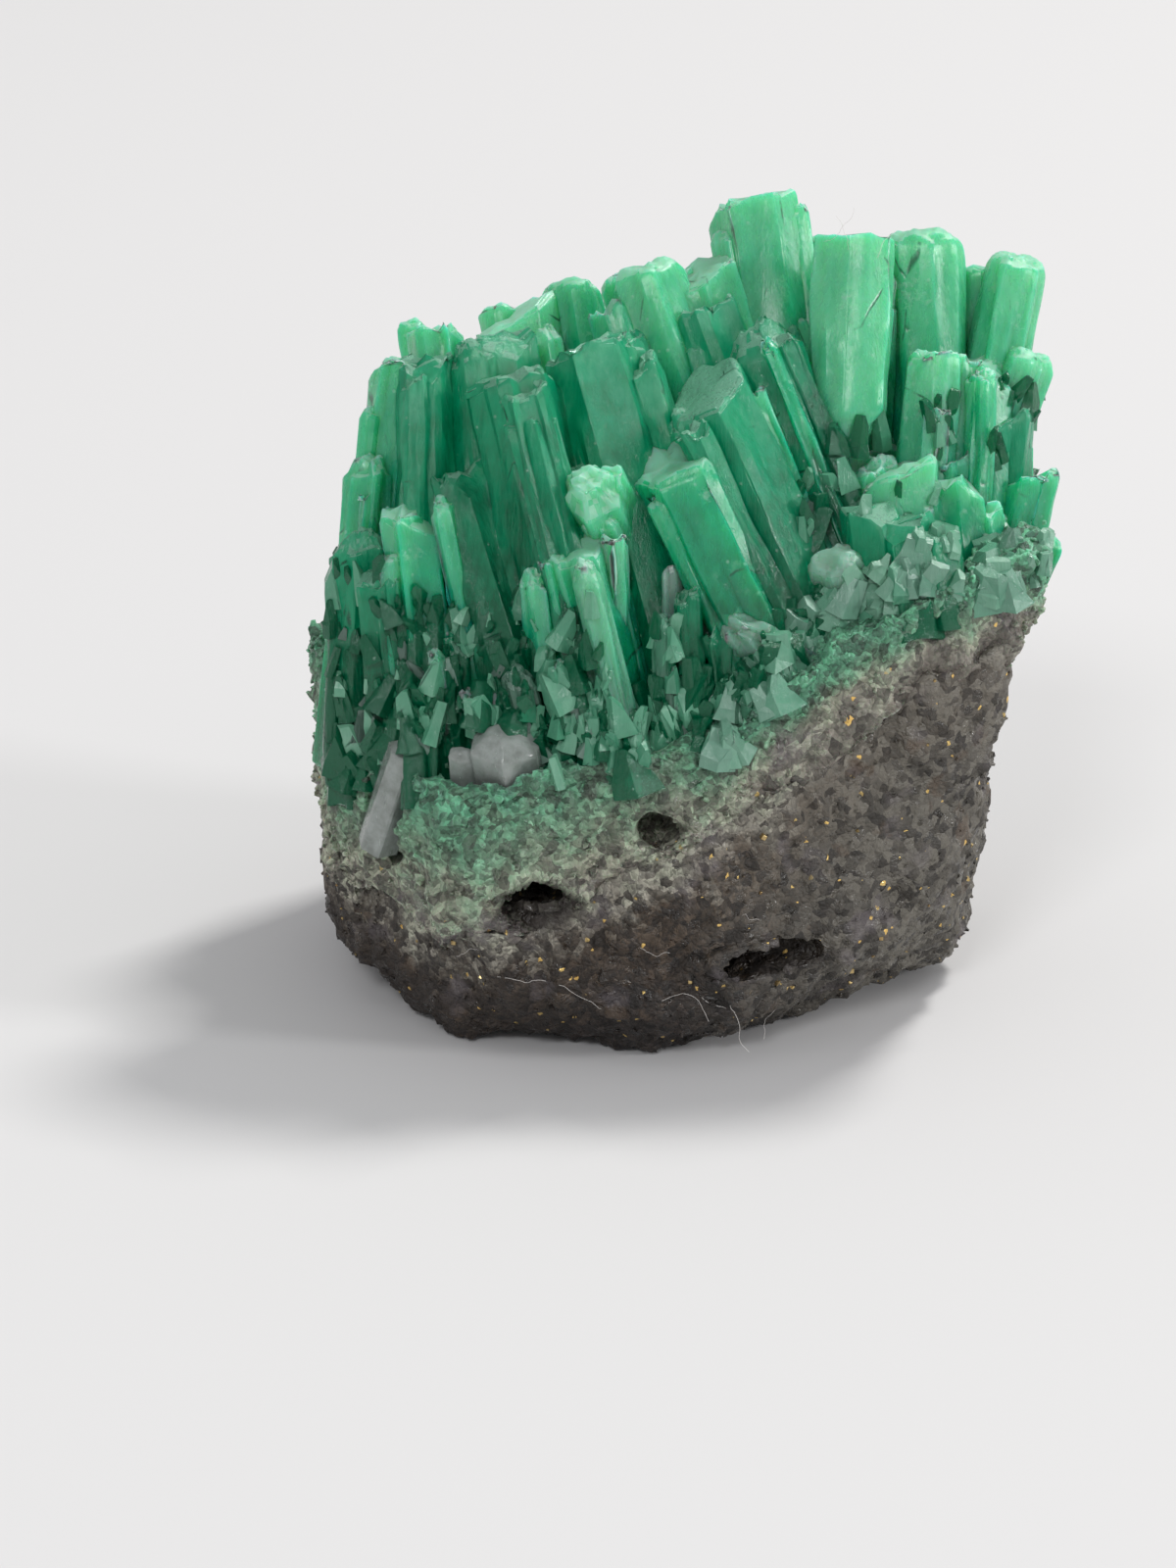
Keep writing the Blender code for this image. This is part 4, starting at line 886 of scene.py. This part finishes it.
def stoneMaterial(name, grainSize, scatter):
    look = stoneLook
    material, wiring, shader = newMaterial(name)
    place = wiring.coordinates()
    patch = wiring.noise(place, 0.42, 6.0, 0.68)
    across = wiring.add("ShaderNodeSeparateXYZ", Vector=place)
    speck = wiring.group(grains, Place=place, Size=grainSize)
    fineSpeck = wiring.group(grains, Place=place, Size=grainSize * 0.42)
    rightward = wiring.span(across, 0.0, 9.0)
    shifted = wiring.plus(wiring.attribute("level"), wiring.scaled(patch, 9.0, -4.5))
    shifted = wiring.plus(shifted, wiring.scaled(speck["Tone"], 1.6, -0.8))
    shifted = wiring.scaled(rightward, -1.6, shifted)
    # dark below, grey at the seam, green above
    tone = wiring.ramp(
        wiring.span(shifted, -6.0, 8.0), (0.0, look["black"]), (1.0, look["deepGreen"]), (0.30, look["brown"]),
        (0.45, look["grey"]), (0.58, look["pale"]), (0.78, look["greenish"]),
    )
    sugary = wiring.times(wiring.scaled(speck["Tone"], 1.15, 0.42), wiring.scaled(fineSpeck["Tone"], 1.0, 0.50))
    tone = wiring.mix(1.0, tone, sugary, "MULTIPLY")
    # the right-hand side is greyer, the lower left is darkened with painted shade, and there are rusty and
    # lilac patches
    greyer = wiring.times(rightward, wiring.span(shifted, 3.5, -1.0))
    greyer = wiring.times(greyer, wiring.span(speck["Tone"], 0.1, 0.8, 0.2, 1.0))
    tone = wiring.mix(wiring.times(greyer, 0.75), tone, look["grey"])
    shaded = wiring.times(wiring.span(across, 0.0, -12.0, 0.0, 0.72), wiring.span(shifted, 0.8, -2.0))
    tone = wiring.mix(shaded, tone, look["black"])
    for colour, size, detail, rough, low, high, amount in (
        ("rust", 0.55, 4.0, 0.6, 0.60, 4.0, 0.6), ("lilac", 0.35, 3.0, 0.5, 0.58, 5.0, 0.5),
    ):
        patches = wiring.span(wiring.noise(place, size, detail, rough), low, 0.68)
        patches = wiring.times(patches, wiring.span(shifted, high, high - 3))
        tone = wiring.mix(wiring.times(patches, amount), tone, look[colour])
    # painted shade: the pits are blackened
    tone = wiring.mix(wiring.times(wiring.attribute("dark"), 0.93), tone, look["black"])
    glitter = wiring.span(fineSpeck["Spark"], 0.9945, 0.9955)
    glitter = wiring.times(glitter, wiring.span(shifted, 3.0, 1.0))
    height = wiring.scaled(fineSpeck["Height"], 0.5, speck["Height"])
    wiring.give(
        shader, Base_Color=wiring.mix(glitter, tone, look["gold"]), Metallic=glitter,
        Roughness=wiring.span(speck["Spark"], 0.45, 1.0, 0.72, 0.18),
        Normal=wiring.bump(0.8, grainSize * 0.4, height), IOR=1.55, Subsurface_Weight=scatter,
        Subsurface_Radius=(0.6, 1.0, 0.7), Subsurface_Scale=0.7 * mm,
    )
    return material


def finishStone(item, material, node):
    levelAttribute(item)
    pitShadeAttribute(item)
    finishPiece(item, item.name, material, node, smooth=60)
    return item


crustShape = {
    "voxel": 0.24, "grow": 0.14, "rough": ((3.2, 0.9), (1.3, 0.5), (0.55, 0.3)), "middle": 0.35,
    "tuckBelow": 1.0, "tuckOver": 1.4, "tuckIn": 1.0, "tuckDown": 0.6,
}


def buildCrust(material):
    shape = crustShape
    made = stoneBody("beryl_crust", "crust", shape)
    # its lower lip is drawn in under the rock's skin
    for vertex in made.data.vertices:
        x, y, z = designPlace(vertex.co)
        tuck = easy((shape["tuckBelow"] - z + heightOf(seam, x, y)) / shape["tuckOver"])
        moved = outwardAt(vertex.co) * shape["tuckIn"] + Vector((0, 0, shape["tuckDown"]))
        vertex.co -= moved * tuck * mm
    return finishStone(made, material, "beryl_crust")


rockShape = {
    "voxel": 0.26, "rough": ((5.0, 1.0), (1.8, 0.6), (0.6, 0.3)), "middle": 0.4,
    "raiseFrom": -2.4, "raiseOver": 1.6, "raise": 1.5, "swell": 0.25,
}


def buildRock(material):
    shape = rockShape
    made = stoneBody("matrix_rock", "rock", shape)
    # its top reaches up into the crust, so that no gap shows between them
    for vertex in made.data.vertices:
        x, y, z = designPlace(vertex.co)
        nearTop = easy((z - heightOf(seam, x, y) - shape["raiseFrom"]) / shape["raiseOver"])
        moved = outwardAt(vertex.co) * shape["swell"] + Vector((0, 0, shape["raise"]))
        vertex.co += moved * nearTop * mm
        vertex.co.z = max(0.0, vertex.co.z)
    return finishStone(made, material, "matrix_rock")


crustStone = stoneMaterial("crust", 0.55, 0.6)
rockStone = stoneMaterial("rock", 0.42, 0.0)
crust = buildCrust(crustStone)
rock = buildRock(rockStone)
print("crust and rock built")


# small things: grains, pyrite, shards and lint
def takenShape():
    # the points and faces of the shape just made, which is removed
    made = bpy.context.object
    points = [vertex.co.copy() for vertex in made.data.vertices]
    faces = [tuple(face.vertices) for face in made.data.polygons]
    bpy.data.objects.remove(made)
    return points, faces


def smallShape(sides, slim, seed, settle):
    # one small crystal about 1 mm long, pointed or broken off
    selectOnly()
    bpy.ops.mesh.primitive_cone_add(
        vertices=sides, radius1=slim, radius2=slim * settle, depth=1, location=(0, 0, 0.2)
    )
    bpy.ops.object.transform_apply(location=True, rotation=True, scale=True)
    editAll()
    bpy.ops.mesh.bisect(plane_co=(0, 0, 0.05), plane_no=(0, 0, 1), threshold=0.0001)
    bpy.ops.mesh.select_all(action="SELECT")
    bpy.ops.mesh.bisect(
        plane_co=(slim * 0.35, 0, 0.45), plane_no=(1, 0.3 * seed, 0.7), clear_outer=True, use_fill=True,
        threshold=0.0001,
    )
    bpy.ops.object.mode_set(mode="OBJECT")
    mesh = bpy.context.object.data
    for vertex in mesh.vertices:
        wide = 1.25 if vertex.co.z < 0.2 else 1.0
        push = 1 + 0.35 * noise.noise(vertex.co * 3 + Vector((seed, 0, 0)))
        vertex.co = Vector((vertex.co.x * push * wide, vertex.co.y * push, vertex.co.z))
    mesh.validate()
    return takenShape()


def cubeShape():
    selectOnly()
    bpy.ops.mesh.primitive_cube_add(size=1)
    editAll()
    bpy.ops.mesh.bevel(offset=0.08, segments=1)
    bpy.ops.object.mode_set(mode="OBJECT")
    return takenShape()


def strewn(name, shapes, places, *materials):
    # one mesh with a copy of a small shape at each place; values are given to its faces
    points, faces, numbers, kinds = [], [], [], []
    for put, which, values, kind in places:
        start = len(points)
        points.extend(put @ point for point in shapes[which][0])
        faces.extend(tuple(start + index for index in face) for face in shapes[which][1])
        numbers.extend([values] * len(shapes[which][1]))
        kinds.extend([kind] * len(shapes[which][1]))
    mesh = bpy.data.meshes.new(name)
    mesh.from_pydata(points, [], faces)
    made = linked(name, mesh)
    for material in materials:
        mesh.materials.append(material)
    mesh.polygons.foreach_set("material_index", kinds)
    for label in numbers[0]:
        giveAttribute(made, label, [values[label] for values in numbers], "FACE")
    return made


def standing(point, direction, length, slim, spin, sink):
    turn = direction.to_track_quat("Z", "Y").to_matrix().to_4x4()
    size = Matrix.Diagonal((slim * mm, slim * mm, length * mm, 1))
    base = point - direction * sink * mm
    return Matrix.Translation(base) @ turn @ Matrix.Rotation(spin, 4, "Z") @ size


def treeOf(*items):
    points, faces = [], []
    for item in items:
        start = len(points)
        points.extend(vertex.co for vertex in item.data.vertices)
        faces.extend(tuple(start + index for index in face.vertices) for face in item.data.polygons)
    return BVHTree.FromPolygons(points, faces)


def surfaceSpots(item, count, chance, wanted):
    # random places on a piece's faces, larger faces more often
    mesh = item.data
    areas = numpy.empty(len(mesh.polygons))
    mesh.polygons.foreach_get("area", areas)
    edges = numpy.cumsum(areas)
    found = []
    for attempt in range(count * 8):
        if len(found) >= count:
            break
        face = mesh.polygons[int(numpy.searchsorted(edges, chance.random() * edges[-1]))]
        if wanted(face):
            found.append((face.center.copy(), face.normal.copy()))
    return found


grainShapes = [smallShape(6, 0.5, seed, 0.5) for seed in (0.3, 1.7, 3.1)]
grainScatter = {
    "crust": {"count": 3600, "size": (0.25, 0.68), "seed": 3},
    "rock": {"count": 2600, "size": (0.16, 0.42), "seed": 4},
    "above": 0.6 * mm,
}


def strewGrains(item, material):
    facts = grainScatter[item.name]
    chance = random.Random(facts["seed"])
    places = []
    spots = surfaceSpots(item, facts["count"], chance, lambda face: face.center.z > grainScatter["above"])
    for point, normal in spots:
        size = pick(facts["size"], chance.random() ** 2)
        wobble = Vector([chance.uniform(-0.8, 0.8) for axis in range(3)])
        spin = chance.random() * 6
        put = standing(point, (normal + wobble).normalized(), size, size * 0.9, spin, size * 0.25)
        places.append((put, chance.randrange(3), {}, 0))
    made = strewn(item.name + "_grains", grainShapes, places)
    levelAttribute(made)
    pitShadeAttribute(made)
    finishPiece(made, item.name, material)


strewGrains(crust, crustStone)
strewGrains(rock, rockStone)
print("grains strewn")


pyriteLook = {
    "colour": (0.62, 0.47, 0.22, 1), "tarnish": (0.30, 0.20, 0.10, 1), "rough": (0.28, 0.53),
    "count": 170, "size": (0.10, 0.26), "seed": 8, "below": 2.5, "above": 0.8 * mm,
}


def pyritePlace(face):
    x, y, z = designPlace(face.center)
    return z - heightOf(seam, x, y) < pyriteLook["below"] and face.center.z > pyriteLook["above"]


def strewPyrite():
    look = pyriteLook
    material, wiring, shader = newMaterial("pyrite")
    tarnish = wiring.noise(wiring.coordinates(), 2.0, 3.0)
    tone = wiring.mix(wiring.span(tarnish, 0.4, 0.65), look["colour"], look["tarnish"])
    wiring.give(shader, Base_Color=tone, Metallic=1.0, Roughness=wiring.span(tarnish, 0.3, 0.7, *look["rough"]))
    chance = random.Random(look["seed"])
    places = []
    for item, share in ((rock, 0.75), (crust, 0.25)):
        for point, normal in surfaceSpots(item, int(look["count"] * share), chance, pyritePlace):
            size = pick(look["size"], chance.random() ** 2)
            tilt = Euler([chance.uniform(0, 3) for axis in range(3)]).to_matrix().to_4x4()
            put = Matrix.Translation(point) @ tilt @ Matrix.Diagonal((size * mm, size * mm, size * mm, 1))
            places.append((put, 0, {}, 0))
    finishPiece(strewn("pyrite", [cubeShape()], places), None, material)


strewPyrite()
print("pyrite strewn")


# the grey crystals at the lower left
quartzLook = {
    "clear": (0.60, 0.66, 0.63, 1),
    "cloud": (0.36, 0.40, 0.37, 1),
    "transmission": 0.55,
    "ior": 1.54,
    "absorption": (0.55, 0.62, 0.58, 1),
    "density": 70.0,
}


def quartzMaterial():
    look = quartzLook
    material, wiring, shader = newMaterial("quartz")
    cloudy = wiring.noise(wiring.coordinates(), 0.9, 5.0, 0.65)
    streak = wiring.noise(wiring.coordinates((1, 1, 0.15), (0.2, 0.3, 0)), 4.0, 4.0, 0.6)
    makeClear(wiring, shader, look)
    wiring.give(
        shader, Base_Color=wiring.mix(wiring.span(cloudy, 0.4, 0.65), look["clear"], look["cloud"]),
        Roughness=wiring.span(streak, 0.3, 0.7, 0.03, 0.28), Normal=wiring.bump(0.4, 0.08, streak),
    )
    return material


quartzCrystals = {
    "quartz_left": ((-13.0, 15.8, -12.3), (-14.8, 10.4, -11.0), 2.4, 0.8, 10, "point", 0.0),
    "quartz_middle": ((-8.8, 16.4, -14.3), (-7.9, 11.6, -12.6), 3.0, 0.9, 20, "point", 0.4),
    "quartz_chip": ((-10.8, 15.4, -14.2), (-10.4, 11.6, -12.6), 1.3, 0.8, 0, "point", 0.0),
}


def growQuartz(material):
    bpy.ops.object.empty_add()
    guide = bpy.context.object
    guide.scale = (1, 1, 6)
    reliefs = (
        clouds("quartzRibs", 0.8 * mm, contrast=0.3), clouds("quartzLumps", 1.5 * mm, contrast=0.25),
        clouds("quartzFine", 0.3 * mm, contrast=0.3), clouds("quartzEnd", 1.2 * mm, contrast=0.4),
    )
    for name, (tip, low, *rest) in quartzCrystals.items():
        tip, low = placeAt(*tip), placeAt(*low)
        selectOnly()
        made = growCrystal(name + "_crystal", tip, low, *rest, (tip - low).length, guide, reliefs)
        finishPiece(made, "quartz", material, name, smooth=30)
    bpy.data.objects.remove(guide)


growQuartz(quartzMaterial())
print("grey crystals grown")


# the jumble of broken shards at the foot of the crystals
shardShapes = [smallShape(*facts) for facts in (
    (6, 0.30, 0.5, 0.75), (5, 0.34, 2.3, 0.6), (4, 0.36, 1.1, 0.5), (6, 0.24, 3.7, 0.8), (6, 0.5, 1.9, 0.62),
)]
shardScatter = {
    "front": {"count": 560, "across": (-16.2, 6.0), "above": (-1.0, 7.0), "seed": 11},
    "foot": {"count": 130, "across": (1.0, 16.5), "above": (-1.2, 1.4), "seed": 13},
    "around": {
        "count": 240, "turn": (-0.35 * math.pi, 1.35 * math.pi), "radii": (15, 13), "above": (-1.0, 3.0),
        "seed": 12,
    },
    "length": (0.6, 2.3),
    "slim": (0.6, 1.2),
    "sink": 0.30,
    "lumps": {"length": 0.9, "slim": (0.9, 1.2), "sink": 0.42, "grey": (0.1, 0.5), "shape": 4},
    "sugar": (-7.2, -0.8),  # across here they are pale
    "flat": {"from": 1, "share": 0.35},  # to the right of this they lie low
}


def shardLines():
    # lines that run towards the places wanted: start, target, and whether a frosted lump goes there
    for facts, frosted in ((shardScatter["front"], False), (shardScatter["foot"], True)):
        chance = random.Random(facts["seed"])
        for attempt in range(facts["count"]):
            x = chance.uniform(*facts["across"])
            above = chance.uniform(*facts["above"])
            if not frosted:
                above *= chance.random()
                above *= shardScatter["flat"]["share"] if x > shardScatter["flat"]["from"] else 1
            y = front + abs(x + 3) * 0.25
            yield (pupil + centring) * mm, scenePlace(x, y, heightOf(crown, x, y) + above), frosted
    facts = shardScatter["around"]
    chance = random.Random(facts["seed"])
    for attempt in range(facts["count"]):
        turn = chance.uniform(*facts["turn"])
        x, y = facts["radii"][0] * math.cos(turn), facts["radii"][1] * math.sin(turn)
        target = Vector((0, 0, (heightOf(crown, x, y) + chance.uniform(*facts["above"])) * mm))
        yield target + Vector((x, y, 4)) * 3 * mm, target, False
    yield chance


def strewShards():
    facts = shardScatter
    lumps = facts["lumps"]
    tree = treeOf(*emeralds, crust)
    places = []
    *lines, chance = shardLines()
    for start, target, frosted in lines:
        hit, normal, index, distance = tree.ray_cast(start, (target - start).normalized())
        if hit is None:
            continue
        length = pick(facts["length"], chance.random() ** 1.6)
        wobble = Vector([chance.uniform(-0.55, 0.55) for axis in range(3)])
        direction = (Vector((0, 0, 1.2)) + outwardAt(hit) * 0.1 + normal * 0.15 + wobble).normalized()
        slim, sink, which = length * chance.uniform(*facts["slim"]), length * facts["sink"], chance.randrange(4)
        if frosted:
            length, which = length * lumps["length"], lumps["shape"]
            slim, sink = length * chance.uniform(*lumps["slim"]), length * lumps["sink"]
        put = standing(hit, direction, length, slim, chance.random() * 6, sink)
        sugary = facts["sugar"][0] < hit.x / mm - centring.x < facts["sugar"][1]
        pale = frosted or chance.random() > (0.35 if sugary else 0.78)
        greyness = chance.uniform(*lumps["grey"]) if frosted else 0.8 * (chance.random() > 0.95)
        # the low rise given here darkens these shards with the material's painted root shade
        values = {
            "milk": 0.8 if pale else 0.1, "grey": greyness, "tone": chance.random(), "cap": 0.0,
            "rise": 0.05 + 0.30 * chance.random() + 0.30 * pale,
        }
        places.append((put, which, values, int(not pale)))
    made = strewn("emerald_shards", shardShapes, places, emeraldMaterial("emeraldSugar"), glassyEmerald)
    finishPiece(made, "emerald", None)


strewShards()
print("shards strewn")


# lint caught on the specimen: where each fibre is held (across, up), then how it runs
lintLook = {
    "colour": (0.62, 0.56, 0.52, 1), "pale": (0.85, 0.84, 0.82, 1), "rough": 0.8,
    "thickness": 0.009, "steps": 14, "seed": 5, "back": -12.0, "lowest": 0.2 * mm,
}
lintFibres = (
    (2.4, 2.6, (0.1, -0.3, -0.9), 2.6), (4.6, 2.4, (-0.2, -0.3, -0.8), 1.7),
    (-6.0, 3.6, (1.0, -0.2, 0.0), 4.2), (-4.0, 3.0, (1.0, -0.2, 0.1), 3.4), (-1.0, 2.8, (1.0, -0.2, -0.1), 3.0),
    (1.0, 3.0, (0.9, -0.2, -0.2), 2.6), (-11.0, 5.0, (0.6, -0.5, 0.2), 2.2), (-9.0, 4.0, (0.9, -0.2, 0.1), 2.4),
    (7.0, 40.0, (0.8, 0.0, 0.8), 2.4), (8.2, 39.6, (-0.3, -0.1, 1.0), 2.0), (9.6, 39.2, (0.6, 0.1, 0.9), 1.6),
    (10.6, 39.8, (-0.7, -0.2, 0.6), 1.8), (3.0, 7.0, (0.7, -0.5, 0.3), 1.6), (-2.0, 5.4, (0.7, -0.5, 0.3), 1.8),
)


def growLint():
    look = lintLook
    material, wiring, shader = newMaterial("lint")
    tone = wiring.mix(wiring.noise(wiring.coordinates(), 1.0), look["colour"], look["pale"])
    wiring.give(shader, Base_Color=tone, Roughness=look["rough"])
    tree = treeOf(*emeralds, crust, rock)
    start = (pupil + centring) * mm
    chance = random.Random(look["seed"])
    fibres = []
    for across, up, runs, length in lintFibres:
        target = (placeAt(across, up, look["back"]) + centring) * mm
        hit, normal, index, distance = tree.ray_cast(start, (target - start).normalized())
        if hit is None:
            continue
        curve = bpy.data.curves.new("fibre", "CURVE")
        curve.dimensions = "3D"
        curve.bevel_depth = look["thickness"] * mm
        curve.bevel_resolution = 1
        curve.use_fill_caps = True
        spline = curve.splines.new("POLY")
        spline.points.add(look["steps"])
        here, heading = hit.copy(), Vector(runs).normalized()
        for number, point in enumerate(spline.points):
            point.co = (*here, 1)
            heading += Vector([chance.uniform(-0.5, 0.5) for axis in range(3)])
            heading = (heading + Vector(runs) * 0.25).normalized()
            here = here + heading * length / look["steps"] * mm
            here.z = max(here.z, look["lowest"])
        fibres.append(linked("fibre", curve))
    selectOnly(*fibres)
    bpy.ops.object.convert(target="MESH")
    bpy.ops.object.join()
    made = bpy.context.object
    made.name = "lint"
    finishPiece(made, None, material)


growLint()
print("lint caught")


# floor, light and camera
studio = {
    "floor": (0.63, 0.625, 0.63, 1),
    "floorRadius": 3.0,
    "world": (0.97, 0.97, 0.98, 1),
    "worldStrength": 0.52,
    "lit": Vector((0, 0, 0.018)),
    "lamps": {  # place, size, watts, tint
        "keyLight": ((0.55, 0.50, 1.20), 0.26, 12.5, (1, 0.99, 0.96)),
        "frontFill": ((-0.30, -1.10, 0.90), 0.28, 5.5, (0.98, 0.99, 1)),
        "rightKicker": ((0.90, -0.30, 0.36), 0.16, 3.5, (1, 1, 1)),
    },
}


def setStudio():
    selectOnly()
    bpy.ops.mesh.primitive_circle_add(
        vertices=96, radius=studio["floorRadius"], fill_type="NGON", location=(0, 0, 0)
    )
    floor = bpy.context.object
    floor.name = "floor"
    material, wiring, shader = newMaterial("paleFloor")
    wiring.give(shader, Base_Color=studio["floor"], Roughness=0.9)
    floor.data.materials.append(material)
    world = bpy.data.worlds.new("softRoom")
    bpy.context.scene.world = world
    world.use_nodes = True
    room = Wiring(world.node_tree)
    room.give(world.node_tree.nodes["Background"], Color=studio["world"], Strength=studio["worldStrength"])
    for name, (spot, size, watts, tint) in studio["lamps"].items():
        bpy.ops.object.light_add(type="AREA", location=spot)
        lamp = bpy.context.object
        lamp.name = name
        lamp.data.size = size
        lamp.data.energy = watts
        lamp.data.color = tint
        lamp.rotation_euler = (studio["lit"] - Vector(spot)).to_track_quat("-Z", "Y").to_euler()


def setCamera():
    aim = eye["aim"] + centring
    bpy.ops.object.camera_add(location=(aim - forward * eye["distance"]) * mm)
    camera = bpy.context.object
    camera.rotation_euler = forward.to_track_quat("-Z", "Y").to_euler()
    camera.data.lens = eye["lens"]
    camera.data.sensor_width = 36
    camera.data.clip_start = 0.005
    camera.data.clip_end = 20
    bpy.context.scene.camera = camera


setStudio()
setCamera()
bpy.context.scene.view_settings.view_transform = "Standard"
print("studio set")
